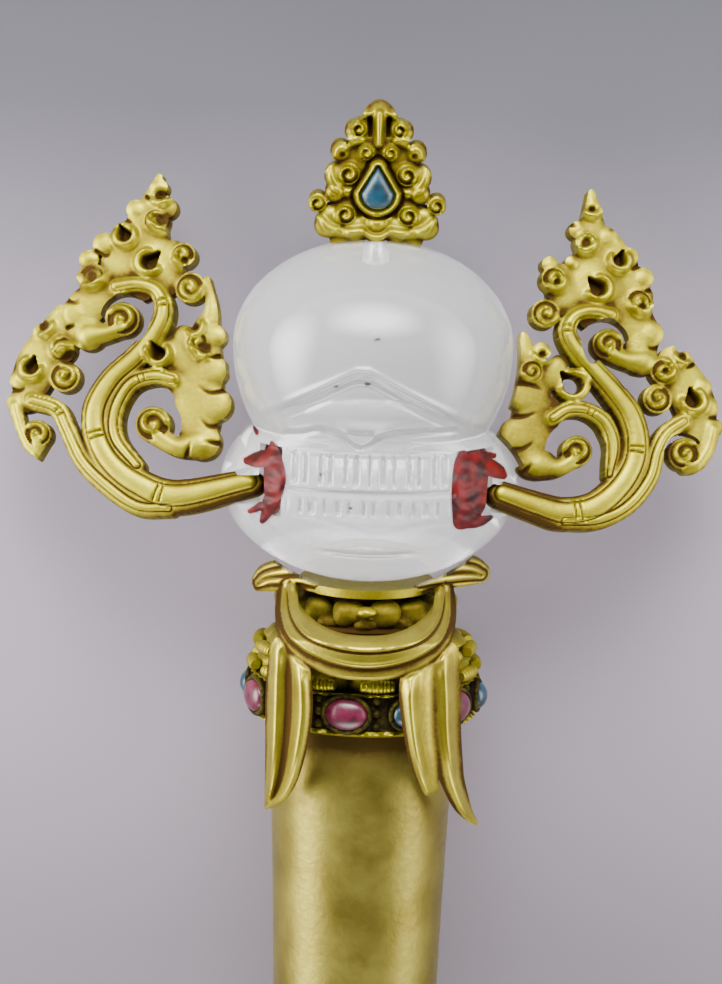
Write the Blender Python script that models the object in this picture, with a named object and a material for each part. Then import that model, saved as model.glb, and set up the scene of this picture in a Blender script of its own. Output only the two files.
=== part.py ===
"""Ritual sceptre: a rock-crystal skull head with gilt flame wings on a gilt tube handle.

Sizes are millimetres. The sceptre lies on its back: X is across, Y runs along the
handle towards the crest, Z is up. Every piece is drawn around the handle's axis.
"""

import math

import bmesh
import bpy
import numpy as np
from mathutils import Matrix, Vector
from mathutils.geometry import delaunay_2d_cdt

MM = 0.001
GAP = 0.3

# The lying pose
AXIS_HEIGHT = 22.0
HEAD_REST_Y = 11.0

# Crystal head
DOME_Y = 13.0
DOME_HALF_WIDTH = 23.7
DOME_TOP = 17.8
DOME_FALL = 26.0
DOME_DEPTH = AXIS_HEIGHT + 1.0
JAW_Y = -10.4
JAW_HALF_WIDTH = 25.3
JAW_RISE = 15.4
JAW_FALL = 17.1
JAW_FRONT = 20.0
JAW_BACK = 17.0
JAW_CUT_Y = -27.0
WAIST_Y = -0.8
BROW_APEX_Y = 13.6
BROW_END_Y = 3.4
BROW_HALF_WIDTH = 19.0
BROW_STEP = 1.3
LENS_Y = 4.0
LENS_HALF = (13.5, 4.2)
LENS_DEPTH = 1.6
MOUTH_Y = -8.1
MOUTH_HALF_WIDTH = 15.5
MOUTH_DEPTH = 1.1
CRYSTAL_SIDES = 28

# Drilled hole for the crest's pin
PIN_RADIUS = 1.5
PIN_DEPTH = 9.0

# Mouth corners, cut open to the front and the sides
CORNER_X = JAW_HALF_WIDTH - 10.7
CORNER_TOP = JAW_Y + 7.7
CORNER_BOTTOM = JAW_Y - 3.8
CORNER_FLOOR_Z = 1.6
CHANNEL_FLOOR_Z = 3.4
CHANNEL_ROOM = 1.2
LACQUER_FRONT_Z = 12.0
ARM_INSET = {"left": 7.7, "right": 5.5}
ARM_DROP = {"left": 0.0, "right": 0.9}
ARM_HALF = 2.2

# Flame wings, drawn flat and then leant and swept back around their arms
WING_Z = 8.0
WING_LEAN = math.tan(math.radians(20.0))
WING_SWEEP = math.tan(math.radians(13.0))
DRAWN_Z = 6.0
DRAWN_SLOPE = math.tan(math.radians(10.5))
WING_BACK = -1.7
WING_EDGE = 0.7
WING_CLEAR = 0.9
ARM_TOP = 4.0
WING_WINDOW = ((-11.3, -9.6), (40.7, 56.4))
WING_CELL = 0.45
WING_SLACK = 0.16
WING_POINTS = 3.0
WING_MARGIN = 0.9
S_STEM_RISE = 2.3
OUTER_STEM_RISE = 1.6
INNER_STEM_RISE = 1.8
BODY_RISE = 0.5
LOBE_RISE = 1.1
SCROLL_RISE = 1.5
CURL_RISE = 1.6
TAIL_RISE = 1.2
DROP_RIM = 1.3
DROP_LENGTH = 1.9
DROP_RIM_RISE = 1.5
DROP_TIP = 0.15
CROWN_POWER = 2.2
SPECK_AREA = 0.8

# Crest
CREST_FOOT_Y = DOME_Y + DOME_TOP
CREST_BACK = -3.0
CREST_EDGE = 2.0
CREST_FLOOR = 3.6
CREST_WINDOW = (13.0, -1.8, 26.7)
CREST_CELL = 0.4
CREST_SLACK = 0.07
CREST_POINTS = 2.4
CREST_MARGIN = 0.8
SPINE_RISE = 1.2
CREST_LOBE_RISE = 1.8
CREST_SCROLL_RISE = 2.5
DROP_Y = CREST_FOOT_Y + 9.6
DROP_RADIUS = 2.7
DROP_REACH = 4.2
DROP_RISE = 1.4
BEZEL_WIDTH = 0.9
BEZEL_HEIGHT = 4.8
BEZEL_WALL = 0.06

# Seat under the crystal, as drops below its top and radii
SEAT_TOP_Y = JAW_CUT_Y - GAP
SEAT_RADIUS = 10.6
SEAT_NECK = 7.6
SEAT_FOOT = 11.0
SEAT_LOBES = 10
SEAT_LOBE_DROP = 4.9
SEAT_LOBE_REACH = 2.4
SEAT_LOBE_DEPTH = 2.6
SEAT_PROFILE = [(0.0, SEAT_RADIUS), (1.6, SEAT_RADIUS), (2.0, SEAT_NECK), (2.7, SEAT_NECK), (3.5, 9.4),
                (SEAT_LOBE_DROP, 10.4), (6.3, 10.0), (6.9, SEAT_FOOT), (7.5, SEAT_FOOT)]
SEAT_BOTTOM_Y = SEAT_TOP_Y - SEAT_PROFILE[-1][0]

# Jewelled collar, as drops below its top and radii
COLLAR_TOP_Y = SEAT_BOTTOM_Y - GAP
BAND_RADIUS = 18.6
BEZEL_RADIUS = BAND_RADIUS + 0.9
UPPER_TIER_DROP = 2.7
LOWER_TIER_DROP = 6.1
TIER_REACH = 1.6
TIER_DEPTH = 1.9
COLLAR_PROFILE = [(0.0, 12.5), (1.1, 16.4), (UPPER_TIER_DROP, 17.6), (4.2, 17.0),
                  (LOWER_TIER_DROP, 18.8), (7.5, 18.0), (8.5, 19.6), (9.1, BAND_RADIUS),
                  (9.9, BAND_RADIUS), (13.5, BAND_RADIUS), (14.5, BAND_RADIUS), (15.3, 19.3),
                  (15.9, 18.2)]
COLLAR_BOTTOM_Y = COLLAR_TOP_Y - COLLAR_PROFILE[-1][0]
GEM_Y = COLLAR_TOP_Y - 11.7
GEM_PAD = 2.5
GEMS = 12
GEM_START = math.radians(-8.0)
RUBY_HALF = (3.6, 2.7)
TURQUOISE_HALF = (2.6, 2.2)
GEM_RISE = 1.7

# Scarf
SCARF_NECK_Z = 8.0
SCARF_RADIUS = BEZEL_RADIUS + GAP + GEM_RISE + 2.1
SCARF_BEND = 39.0
SCARF_TUCK = 3.0
SCARF_HALF_THICKNESS = 0.9
SCARF_WINDOW = (23.0, -43.0, 5.0)
SCARF_CELL = 0.5
SCARF_SLACK = 0.12
SCARF_POINTS = 2.6

# Handle
HANDLE_TOP_Y = COLLAR_BOTTOM_Y - GAP
HANDLE_LENGTH = 302.0
HANDLE_RADIUS = 11.8
HANDLE_FLARE = 4.3
FLARE_LENGTH = 85.0
FOOT_LENGTH = 14.0
FOOT_PROFILE = [(0.6, 14.2), (2.4, 15.2), (4.2, 14.2), (5.0, 12.2), (9.0, 12.2), (10.0, 14.4),
                (12.6, 14.4), (13.6, 12.6)]
KNOB_RADIUS = AXIS_HEIGHT + 0.6
KNOB_LENGTH = 27.0
KNOB_TURN = math.radians(64.0)
KNOB_END = math.radians(-78.0)
HANDLE_SIDES = 28
SHARP = math.radians(35.0)


def clear_scene():
    """Remove whatever the scene holds."""
    for thing in list(bpy.data.objects):
        bpy.data.objects.remove(thing, do_unlink=True)


def material(name, colour, roughness, metallic, transmission=0.0):
    """Make one plain Principled material."""
    made = bpy.data.materials.new(name)
    made.use_nodes = True
    shader = made.node_tree.nodes["Principled BSDF"]
    shader.inputs["Base Color"].default_value = (*colour, 1.0)
    shader.inputs["Roughness"].default_value = roughness
    shader.inputs["Metallic"].default_value = metallic
    shader.inputs["Transmission Weight"].default_value = transmission
    return made


def add_piece(name, mesh, finish):
    """Turn a bmesh in millimetres into a named object on the handle's axis."""
    bmesh.ops.recalc_face_normals(mesh, faces=mesh.faces)
    bmesh.ops.scale(mesh, vec=(MM, MM, MM), verts=mesh.verts)
    data = bpy.data.meshes.new(name)
    mesh.to_mesh(data)
    mesh.free()
    data.materials.append(finish)
    data.shade_smooth()
    data.set_sharp_from_angle(angle=SHARP)
    piece = bpy.data.objects.new(name, data)
    bpy.context.collection.objects.link(piece)
    piece.parent = bpy.data.objects["axis"]
    return piece


def combine(piece, tool, operation):
    """Cut or join one object with another, which is then left out."""
    tool.hide_render = True
    tool.display_type = "WIRE"
    step = piece.modifiers.new(tool.name, "BOOLEAN")
    step.operation = operation
    step.solver = "EXACT"
    step.object = tool


def stacked(rings):
    """Close a stack of rings of points into one body with flat ends."""
    mesh = bmesh.new()
    loops = [[mesh.verts.new(point) for point in ring] for ring in rings]
    count = len(loops[0])
    for low, high in zip(loops, loops[1:]):
        for i in range(count):
            j = (i + 1) % count
            mesh.faces.new((low[i], low[j], high[j], high[i]))
    mesh.faces.new(loops[0])
    mesh.faces.new(loops[-1])
    return mesh


def turned(profile, sides, bulge=None):
    """Turn (y, radius) pairs around the axis, with an optional bulge(y, angle)."""
    rings = []
    for y, radius in profile:
        ring = []
        for i in range(sides):
            angle = 2.0 * math.pi * i / sides
            reach = radius + (bulge(y, angle) if bulge else 0.0)
            ring.append((reach * math.sin(angle), y, reach * math.cos(angle)))
        rings.append(ring)
    return stacked(rings)


def smooth_path(points, pieces=8):
    """Run a Catmull-Rom curve through (u, v, half width) points."""
    rows = np.array(points, dtype=float)
    rows = np.vstack([2 * rows[0] - rows[1], rows, 2 * rows[-1] - rows[-2]])
    made = []
    for a, b, c, d in zip(rows, rows[1:], rows[2:], rows[3:]):
        for t in np.arange(pieces) / pieces:
            made.append(0.5 * (2 * b + (c - a) * t + (2 * a - 5 * b + 4 * c - d) * t * t
                               + (3 * b - a - 3 * c + d) * t ** 3))
    made.append(rows[-2])
    return np.array(made)


def stem_distance(u, v, path):
    """Distance outside a tapered band, and the band's half width there."""
    best = np.full(np.shape(u), 1e9)
    width = np.zeros(np.shape(u))
    for start, end in zip(path, path[1:]):
        run = end[:2] - start[:2]
        share = ((u - start[0]) * run[0] + (v - start[1]) * run[1]) / max(run @ run, 1e-9)
        share = np.clip(share, 0.0, 1.0)
        half = start[2] + share * (end[2] - start[2])
        away = np.hypot(u - start[0] - share * run[0], v - start[1] - share * run[1]) - half
        nearer = away < best
        best = np.where(nearer, away, best)
        width = np.where(nearer, half, width)
    return best, width


class Relief:
    """A pierced relief plate, drawn from bands, discs, drops and slots."""

    def __init__(self, edge):
        self.edge = edge
        self.solids = []
        self.cuts = []
        self.kept = []
        self.marks = []

    def band(self, points, rise, uncut=False):
        """A tapered band through (u, v, half width) points, cut by slots or not."""
        path = smooth_path(points)
        self.solids.append((path, rise))
        self.marks += [tuple(row[:2]) for row in smooth_path(points, 2)]
        if uncut:
            self.kept.append(path)

    def disc(self, u, v, radius, rise):
        """A round lobe, scroll or boss."""
        self.solids.append((np.array([(u, v, radius)] * 2), rise))
        self.marks.append((u, v))

    def drop(self, u, v, radius, rim, reach, angle, rise):
        """A pierced drop with a raised rim, its tip at an angle from +u."""
        tip = (u + reach * math.cos(angle), v + reach * math.sin(angle))
        self.disc(u, v, radius + rim, rise)
        self.cuts.append(np.array([(u, v, radius), (*tip, DROP_TIP)]))

    def slot(self, u, v, radius, start, end, wide, narrow):
        """An open slot round a scroll between two angles, wide at its start."""
        path = []
        for share in np.linspace(0.0, 1.0, 15):
            half = wide + share * (narrow - wide)
            turn = start + share * (end - start)
            reach = radius + half
            path.append((u + reach * math.cos(turn), v + reach * math.sin(turn), half))
        self.cuts.append(np.array(path))

    def outside(self, u, v):
        """Distance outside the plate's outline, negative on the plate."""
        far = np.full(np.shape(u), 1e9)
        for path, _ in self.solids:
            far = np.minimum(far, stem_distance(u, v, path)[0])
        for path in self.cuts:
            far = np.maximum(far, -stem_distance(u, v, path)[0])
        for path in self.kept:
            far = np.minimum(far, stem_distance(u, v, path)[0])
        return far

    def height(self, u, v):
        """Height of the front face over the plate's middle plane."""
        top = np.full(np.shape(u), self.edge)
        for path, rise in self.solids:
            away, half = stem_distance(u, v, path)
            across = np.clip(1.0 + away / np.maximum(half, 1e-6), 0.0, 1.0)
            crown = self.edge + rise * np.sqrt(1.0 - across ** CROWN_POWER)
            top = np.where(away < 0.0, np.maximum(top, crown), top)
        return top


def traced(outside, low, high, cell):
    """Trace the closed outlines of a plane region by marching squares."""
    us = np.arange(low[0], high[0] + cell, cell)
    vs = np.arange(low[1], high[1] + cell, cell)
    grid_u, grid_v = np.meshgrid(us, vs, indexing="ij")
    value = outside(grid_u, grid_v)
    inside = value < 0.0
    follow = {}
    place = {}
    mixed = inside[:-1, :-1] != inside[1:, :-1]
    mixed |= inside[:-1, :-1] != inside[1:, 1:]
    mixed |= inside[:-1, :-1] != inside[:-1, 1:]
    for i, j in np.argwhere(mixed):
        corners = [(i, j), (i + 1, j), (i + 1, j + 1), (i, j + 1)]
        crossings = []
        for a, b in zip(corners, corners[1:] + corners[:1]):
            if inside[a] == inside[b]:
                continue
            key = (min(a, b), max(a, b))
            share = value[a] / (value[a] - value[b])
            place[key] = (us[a[0]] + share * (us[b[0]] - us[a[0]]),
                          vs[a[1]] + share * (vs[b[1]] - vs[a[1]]))
            crossings.append((key, inside[a]))
        if not crossings[0][1]:
            crossings = crossings[1:] + crossings[:1]
        for leave, enter in zip(crossings[::2], crossings[1::2]):
            follow[leave[0]] = enter[0]
    loops = []
    while follow:
        first = next(iter(follow))
        loop = []
        key = first
        while key in follow:
            loop.append(place[key])
            key = follow.pop(key)
        loops.append(np.array(loop))
    return loops


def signed_area(loop):
    """Area inside a loop, positive when it runs anticlockwise."""
    x, y = loop[:, 0], loop[:, 1]
    return 0.5 * float(np.sum(x * np.roll(y, -1) - y * np.roll(x, -1)))


def simplified(loop, slack):
    """Drop the points of a closed loop that lie within slack of its chords."""
    far = int(np.argmax(np.hypot(*(loop - loop[0]).T)))
    keep = {0, far}
    waiting = [(0, far), (far, len(loop))]
    ring = np.vstack([loop, loop[:1]])
    while waiting:
        start, end = waiting.pop()
        if end - start < 2:
            continue
        run = ring[end] - ring[start]
        between = ring[start + 1:end] - ring[start]
        length = max(float(np.hypot(*run)), 1e-9)
        away = np.abs(between[:, 0] * run[1] - between[:, 1] * run[0]) / length
        worst = int(np.argmax(away))
        if away[worst] > slack:
            split = start + 1 + worst
            keep.add(split)
            waiting += [(start, split), (split, end)]
    return loop[sorted(keep)]


def within(loops, point):
    """Whether a point lies inside the outline and outside its holes."""
    crossings = 0
    for loop in loops:
        after = np.roll(loop, -1, axis=0)
        spans = (loop[:, 1] > point[1]) != (after[:, 1] > point[1])
        low, high = loop[spans], after[spans]
        share = (point[1] - low[:, 1]) / (high[:, 1] - low[:, 1])
        reach = low[:, 0] + share * (high[:, 0] - low[:, 0])
        crossings += int(np.sum(reach > point[0]))
    return crossings % 2 == 1


def triangles(loops, extra, rings=()):
    """Triangulate the region between loops, through extra points and rings in it."""
    points = []
    edges = []
    for loop in list(loops) + list(rings):
        first = len(points)
        points += [Vector(p) for p in loop]
        edges += [(first + i, first + (i + 1) % len(loop)) for i in range(len(loop))]
    points += [Vector(p) for p in extra]
    made = delaunay_2d_cdt(points, edges, [], 0, 1e-5)
    source = [origin[0] for origin in made[3]]
    kept = []
    for face in made[2]:
        middle = sum((made[0][i] for i in face), Vector((0.0, 0.0))) / 3.0
        if within(loops, middle):
            kept.append([source[i] for i in face])
    return kept


def plate(loops, extra, front, back, rings=()):
    """Close a relief plate between a front and a back surface over its outline."""
    mesh = bmesh.new()
    outline = [tuple(p) for loop in loops for p in loop]
    steps = [tuple(p) for ring in rings for p in ring]
    tops = [mesh.verts.new(front(*p)) for p in outline + steps + [tuple(p) for p in extra]]
    bottoms = [mesh.verts.new(back(*p)) for p in outline]
    for face in triangles(loops, extra, rings):
        mesh.faces.new([tops[i] for i in face])
    for face in triangles(loops, []):
        mesh.faces.new([bottoms[i] for i in reversed(face)])
    first = 0
    for loop in loops:
        for i in range(len(loop)):
            a, b = first + i, first + (i + 1) % len(loop)
            mesh.faces.new((tops[b], tops[a], bottoms[a], bottoms[b]))
        first += len(loop)
    return mesh


def relief_points(relief, loops, spacing, clear):
    """Pick the points inside a plate that carry its relief."""
    (low_u, low_v), (high_u, high_v) = loops[0].min(axis=0), loops[0].max(axis=0)
    wanted = list(relief.marks)
    for row, v in enumerate(np.arange(low_v, high_v, spacing * 0.87)):
        wanted += [(u + 0.5 * spacing * (row % 2), v) for u in np.arange(low_u, high_u, spacing)]
    deep = relief.outside(np.array([p[0] for p in wanted]), np.array([p[1] for p in wanted]))
    kept = []
    for point, depth in zip(wanted, deep):
        if depth > -clear or not within(loops, point):
            continue
        if all(math.hypot(point[0] - q[0], point[1] - q[1]) > clear for q in kept):
            kept.append((float(point[0]), float(point[1])))
    return kept


def relief_loops(outside, low, high, cell, slack, smallest):
    """Outline and holes of a region, without specks."""
    loops = [simplified(loop, slack) for loop in traced(outside, low, high, cell)]
    loops.sort(key=signed_area, reverse=True)
    return [loops[0]] + [loop for loop in loops[1:] if signed_area(loop) < -smallest]


# Flame wings, in millimetres outwards from the jaw's side (u) and towards the crest (v).
# Bands are (u, v, half width), scrolls and lobes (u, v, radius), curls (u, v, radius, first
# and last angle, first and last width of the slot), drops (u, v, radius, angle).
LEFT_WING = {
    "s_stem": [(6.8, -2.9, 2.9), (13.6, -0.9, 2.8), (18.4, 2.8, 2.6), (20.9, 7.6, 2.5),
               (21.0, 12.3, 2.4), (18.4, 17.2, 2.2), (14.3, 21.2, 2.1), (11.4, 25.2, 1.8),
               (10.1, 29.1, 1.7), (11.3, 32.5, 1.5), (14.6, 33.7, 1.4), (18.4, 33.2, 1.5)],
    "outer_stem": [(8.0, -5.0, 1.3), (13.5, -4.7, 1.6), (18.7, -1.4, 1.7), (23.1, 2.8, 1.6),
                   (26.0, 8.3, 1.5), (28.0, 11.7, 1.5), (32.3, 13.1, 1.6)],
    "inner_stem": [(13.7, 2.2, 1.2), (17.5, 6.8, 1.5), (17.8, 11.6, 1.5), (15.4, 16.2, 1.5),
                   (11.6, 17.8, 1.5), (8.2, 17.3, 1.4)],
    "bodies": [
        [(14.6, 33.7, 2.0), (15.5, 37.1, 6.0), (14.4, 42.4, 4.2), (12.9, 48.0, 2.2), (11.9, 52.8, 0.5)],
        [(10.8, 34.7, 3.2), (9.2, 39.1, 2.6)],
        [(20.1, 32.7, 3.0), (24.3, 29.1, 3.4), (24.6, 25.6, 2.8)],
        [(33.6, 13.7, 2.6), (32.0, 18.9, 3.8), (29.6, 23.8, 3.2), (28.2, 29.0, 1.0)],
        [(3.7, 7.2, 3.0), (3.9, 14.1, 4.0), (3.6, 20.2, 3.4), (3.3, 25.4, 2.4), (2.2, 29.7, 1.1),
         (3.1, 35.0, 0.5)],
        [(6.7, 24.9, 2.0), (4.5, 22.3, 3.2)],
        [(8.2, 17.5, 1.8), (4.7, 15.4, 3.0)],
    ],
    "lobes": [
        (10.6, 47.4, 1.9), (15.7, 47.0, 1.7), (21.0, 40.8, 2.0), (23.6, 38.0, 1.7),
        (25.7, 28.6, 2.4), (23.1, 25.0, 2.9), (31.0, 25.0, 1.8), (34.5, 16.7, 2.0),
        (35.2, 12.7, 1.7), (1.6, 25.1, 2.0), (1.9, 19.2, 2.8), (1.2, 13.3, 3.0), (3.1, 6.8, 3.2),
    ],
    "scrolls": [(7.3, 39.0, 2.2), (22.9, 34.9, 2.5), (5.8, 33.3, 2.7), (12.2, 45.0, 2.2),
                (26.9, 17.4, 2.7), (27.7, 22.2, 2.4), (4.3, 23.8, 2.0)],
    "curls": [(17.3, 27.6, 3.0, 222.0, 15.0, 1.1, 0.5), (11.4, 9.5, 3.1, -62.0, 190.0, 1.0, 0.9),
              (31.2, 7.3, 2.3, 210.0, 20.0, 0.8, 0.4)],
    "tails": [
        [(23.1, 24.8, 2.2), (19.9, 25.3, 1.6), (17.3, 26.3, 1.6)],
        [(3.6, 6.4, 2.6), (7.2, 5.8, 1.7), (10.5, 7.5, 1.8)],
        [(35.3, 12.1, 1.2), (34.0, 7.9, 0.9), (32.6, 5.1, 0.9), (31.1, 3.4, 0.4)],
        [(31.2, 6.4, 1.9), (31.1, 3.2, 0.3)],
    ],
    "drops": [(17.4, 42.3, 1.2, 60.0), (13.0, 37.7, 1.4, 130.0), (32.7, 18.8, 1.2, 100.0),
              (10.8, 21.5, 1.2, 20.0)],
}
RIGHT_WING = {
    "s_stem": [(2.6, -2.8, 2.5), (7.3, -3.9, 2.8), (12.3, -2.9, 2.8), (16.5, 0.6, 2.6),
               (19.0, 5.0, 2.5), (19.4, 9.3, 2.4), (18.1, 13.6, 2.3), (15.2, 17.4, 2.1),
               (11.7, 21.2, 1.9), (8.6, 24.6, 1.7), (7.2, 27.6, 1.6), (8.4, 30.2, 1.4),
               (11.4, 31.2, 1.4), (14.8, 30.6, 1.5)],
    "outer_stem": [(7.3, -5.4, 1.3), (13.3, -4.9, 1.5), (18.3, -2.2, 1.6), (21.8, 2.5, 1.6),
                   (23.1, 7.3, 1.5), (24.7, 10.4, 1.5), (27.6, 12.6, 1.5)],
    "inner_stem": [(13.9, 4.0, 1.2), (15.4, 7.9, 1.5), (14.1, 11.8, 1.5), (11.0, 13.9, 1.4),
                   (7.6, 14.0, 1.4), (5.1, 12.4, 1.4)],
    "bodies": [
        [(11.4, 30.3, 2.2), (12.6, 35.1, 6.0), (12.4, 39.8, 4.0), (11.6, 45.9, 2.2), (11.2, 52.1, 0.6)],
        [(7.5, 33.2, 3.2), (5.7, 37.1, 2.4)],
        [(17.3, 31.8, 3.4), (20.4, 28.0, 3.0), (20.1, 23.2, 2.6)],
        [(14.5, 42.9, 2.4), (17.1, 38.7, 2.8), (19.8, 34.4, 2.4)],
        [(30.7, 9.7, 2.6), (29.9, 15.3, 3.6), (27.4, 20.4, 3.4), (25.2, 23.3, 2.0), (25.8, 25.3, 0.5)],
        [(2.3, 5.0, 3.0), (1.8, 9.7, 3.4), (2.0, 15.8, 3.0), (1.9, 20.1, 2.6), (0.8, 23.5, 1.6),
         (0.0, 26.8, 0.5)],
        [(4.9, 19.7, 2.4), (6.1, 21.9, 1.6)],
        [(4.2, 14.1, 2.4), (3.0, 10.6, 3.0)],
    ],
    "lobes": [
        (9.0, 45.4, 1.6), (14.0, 44.2, 1.9), (17.9, 41.1, 1.6), (20.4, 37.5, 1.8), (4.2, 39.2, 1.4),
        (21.9, 27.8, 2.2), (20.8, 23.0, 2.5), (11.4, 49.8, 1.2), (8.0, 39.6, 1.2), (27.7, 23.4, 1.5),
        (31.8, 15.3, 2.0), (32.8, 11.7, 1.8), (30.9, 18.7, 1.7), (3.1, 24.1, 1.5), (0.3, 16.1, 2.7),
        (-0.7, 9.5, 3.0), (2.9, 5.0, 3.1),
    ],
    "scrolls": [(4.9, 36.6, 2.2), (3.6, 30.5, 2.5), (19.6, 33.1, 2.4), (10.4, 43.2, 2.0),
                (23.1, 16.4, 2.6), (24.2, 21.2, 2.4), (1.4, 20.4, 2.0)],
    "curls": [(14.4, 25.6, 2.7, 222.0, 20.0, 1.2, 0.6), (9.4, 6.9, 2.7, -62.0, 190.0, 1.0, 1.4),
              (27.9, 7.0, 2.8, 190.0, 40.0, 0.45, 0.35)],
    "tails": [
        [(20.8, 22.8, 2.2), (17.6, 23.1, 1.6), (15.0, 24.1, 1.6)],
        [(3.2, 4.5, 2.6), (6.2, 4.0, 1.6), (9.1, 5.6, 1.6)],
        [(32.8, 11.5, 1.2), (32.1, 8.4, 1.3), (30.3, 5.4, 1.3), (28.5, 4.8, 1.2)],
    ],
    "drops": [(16.1, 40.3, 1.1, 70.0), (12.5, 35.3, 1.4, 130.0), (29.2, 16.3, 1.3, 100.0),
              (8.4, 18.3, 1.8, 30.0)],
}
WINGS = {"left": LEFT_WING, "right": RIGHT_WING}


def dome_outline(x, y):
    """Distance outside the crystal dome's outline, seen from the front."""
    reach = np.where(y > DOME_Y, DOME_TOP, DOME_FALL)
    return (np.hypot(x / DOME_HALF_WIDTH, (y - DOME_Y) / reach) - 1.0) * DOME_TOP


def jaw_outline(x, y):
    """Distance outside the crystal jaw's outline, seen from the front."""
    reach = np.where(y > JAW_Y, JAW_RISE, JAW_FALL)
    return (np.hypot(x / JAW_HALF_WIDTH, (y - JAW_Y) / reach) - 1.0) * JAW_FALL


def wing_relief(side):
    """Draw one flame wing in the plane."""
    wing = WINGS[side]
    relief = Relief(WING_EDGE)
    relief.band([(ARM_HALF - ARM_INSET[side], -ARM_DROP[side], ARM_HALF)] + wing["s_stem"], S_STEM_RISE)
    relief.band(wing["outer_stem"], OUTER_STEM_RISE)
    relief.band(wing["inner_stem"], INNER_STEM_RISE)
    for points in wing["bodies"]:
        relief.band(points, BODY_RISE)
    for u, v, radius in wing["lobes"]:
        relief.disc(u, v, radius, LOBE_RISE)
    for u, v, radius in wing["scrolls"]:
        relief.disc(u, v, radius, SCROLL_RISE)
    for u, v, radius, start, finish, wide, narrow in wing["curls"]:
        relief.slot(u, v, radius, math.radians(start), math.radians(finish), wide, narrow)
        relief.disc(u, v, radius, CURL_RISE)
    for points in wing["tails"]:
        relief.band(points, TAIL_RISE, uncut=True)
    for u, v, radius, angle in wing["drops"]:
        relief.drop(u, v, radius, DROP_RIM, DROP_LENGTH * radius, math.radians(angle), DROP_RIM_RISE)
    return relief


def wing_point(side, u, v, height):
    """Place a point of the drawn wing, a height over its middle plane, on the leant wing."""
    out = u + ARM_INSET[side] - ARM_HALF
    up = v + ARM_DROP[side]
    lift = DRAWN_SLOPE * (WING_Z - DRAWN_Z - WING_SWEEP * out)
    up = (up + lift) / (1.0 + WING_LEAN * DRAWN_SLOPE)
    z = WING_Z - WING_SWEEP * out - WING_LEAN * up
    tilt = height / math.hypot(1.0, WING_SWEEP, WING_LEAN)
    x = JAW_HALF_WIDTH + u + tilt * WING_SWEEP
    y = JAW_Y - ARM_DROP[side] + up + tilt * WING_LEAN
    return (-x if side == "left" else x, y, z + tilt)


def make_wing(side, finish):
    """Cast one openwork flame wing."""
    relief = wing_relief(side)

    def outside(u, v):
        crystal = dome_outline(JAW_HALF_WIDTH + u, JAW_Y + v)
        jaw = jaw_outline(JAW_HALF_WIDTH + u, JAW_Y + v)
        crystal = np.where(v > ARM_TOP, np.minimum(crystal, jaw), crystal)
        return np.maximum(relief.outside(u, v), WING_CLEAR - crystal)

    loops = relief_loops(outside, *WING_WINDOW, WING_CELL, WING_SLACK, SPECK_AREA)
    extra = relief_points(relief, loops, WING_POINTS, WING_MARGIN)

    def front(u, v):
        return wing_point(side, u, v, float(relief.height(np.array(u), np.array(v))))

    def back(u, v):
        return wing_point(side, u, v, WING_BACK)

    add_piece(f"flame_wing_{side}", plate(loops, extra, front, back), finish)


# Crest, in millimetres to either side of the axis (u) and up from the dome's top (v)
CREST_SPINE = [(0.0, 2.6, 8.4), (0.0, 7.2, 7.6), (0.0, 12.7, 6.4), (0.0, 17.7, 4.4),
               (0.0, 21.8, 2.8), (0.0, 23.8, 0.9)]
CREST_LOBES = [(0.0, 22.8, 1.7), (4.4, 19.8, 1.6), (6.6, 16.0, 1.9), (7.0, 12.2, 2.3), (7.4, 9.0, 1.9),
               (7.8, 4.4, 2.4), (0.0, 2.8, 2.6)]
CREST_SCROLLS = [(3.0, 20.2, 1.6), (6.0, 17.0, 2.0), (2.0, 16.1, 1.5), (4.7, 12.3, 2.1),
                 (9.4, 7.6, 1.7), (5.2, 5.6, 2.0), (0.0, 3.4, 1.6)]


def drop_path():
    """The crest stone's outline as a tapered band."""
    return np.array([(0.0, DROP_Y, DROP_RADIUS), (0.0, DROP_Y + DROP_REACH, DROP_TIP)])


def drop_ring(offset, count=14):
    """Points round the crest stone's outline, moved outwards by an offset."""
    points = []
    for i in range(count):
        angle = math.pi / 2.0 + 2.0 * math.pi * i / count
        near, far = 0.0, 12.0
        for _ in range(30):
            reach = 0.5 * (near + far)
            u, v = reach * math.cos(angle), DROP_Y + reach * math.sin(angle)
            if float(stem_distance(np.array(u), np.array(v), drop_path())[0]) < offset:
                near = reach
            else:
                far = reach
        points.append((near * math.cos(angle), DROP_Y + near * math.sin(angle)))
    return np.array(points)


def crest_relief():
    """Draw the crest in the plane."""
    relief = Relief(CREST_EDGE)
    relief.band([(u, CREST_FOOT_Y + v, half) for u, v, half in CREST_SPINE], SPINE_RISE)
    for rows, rise in ((CREST_LOBES, CREST_LOBE_RISE), (CREST_SCROLLS, CREST_SCROLL_RISE)):
        for u, v, radius in rows:
            for across in sorted({-u, u}):
                relief.disc(across, CREST_FOOT_Y + v, radius, rise)
    return relief


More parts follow.
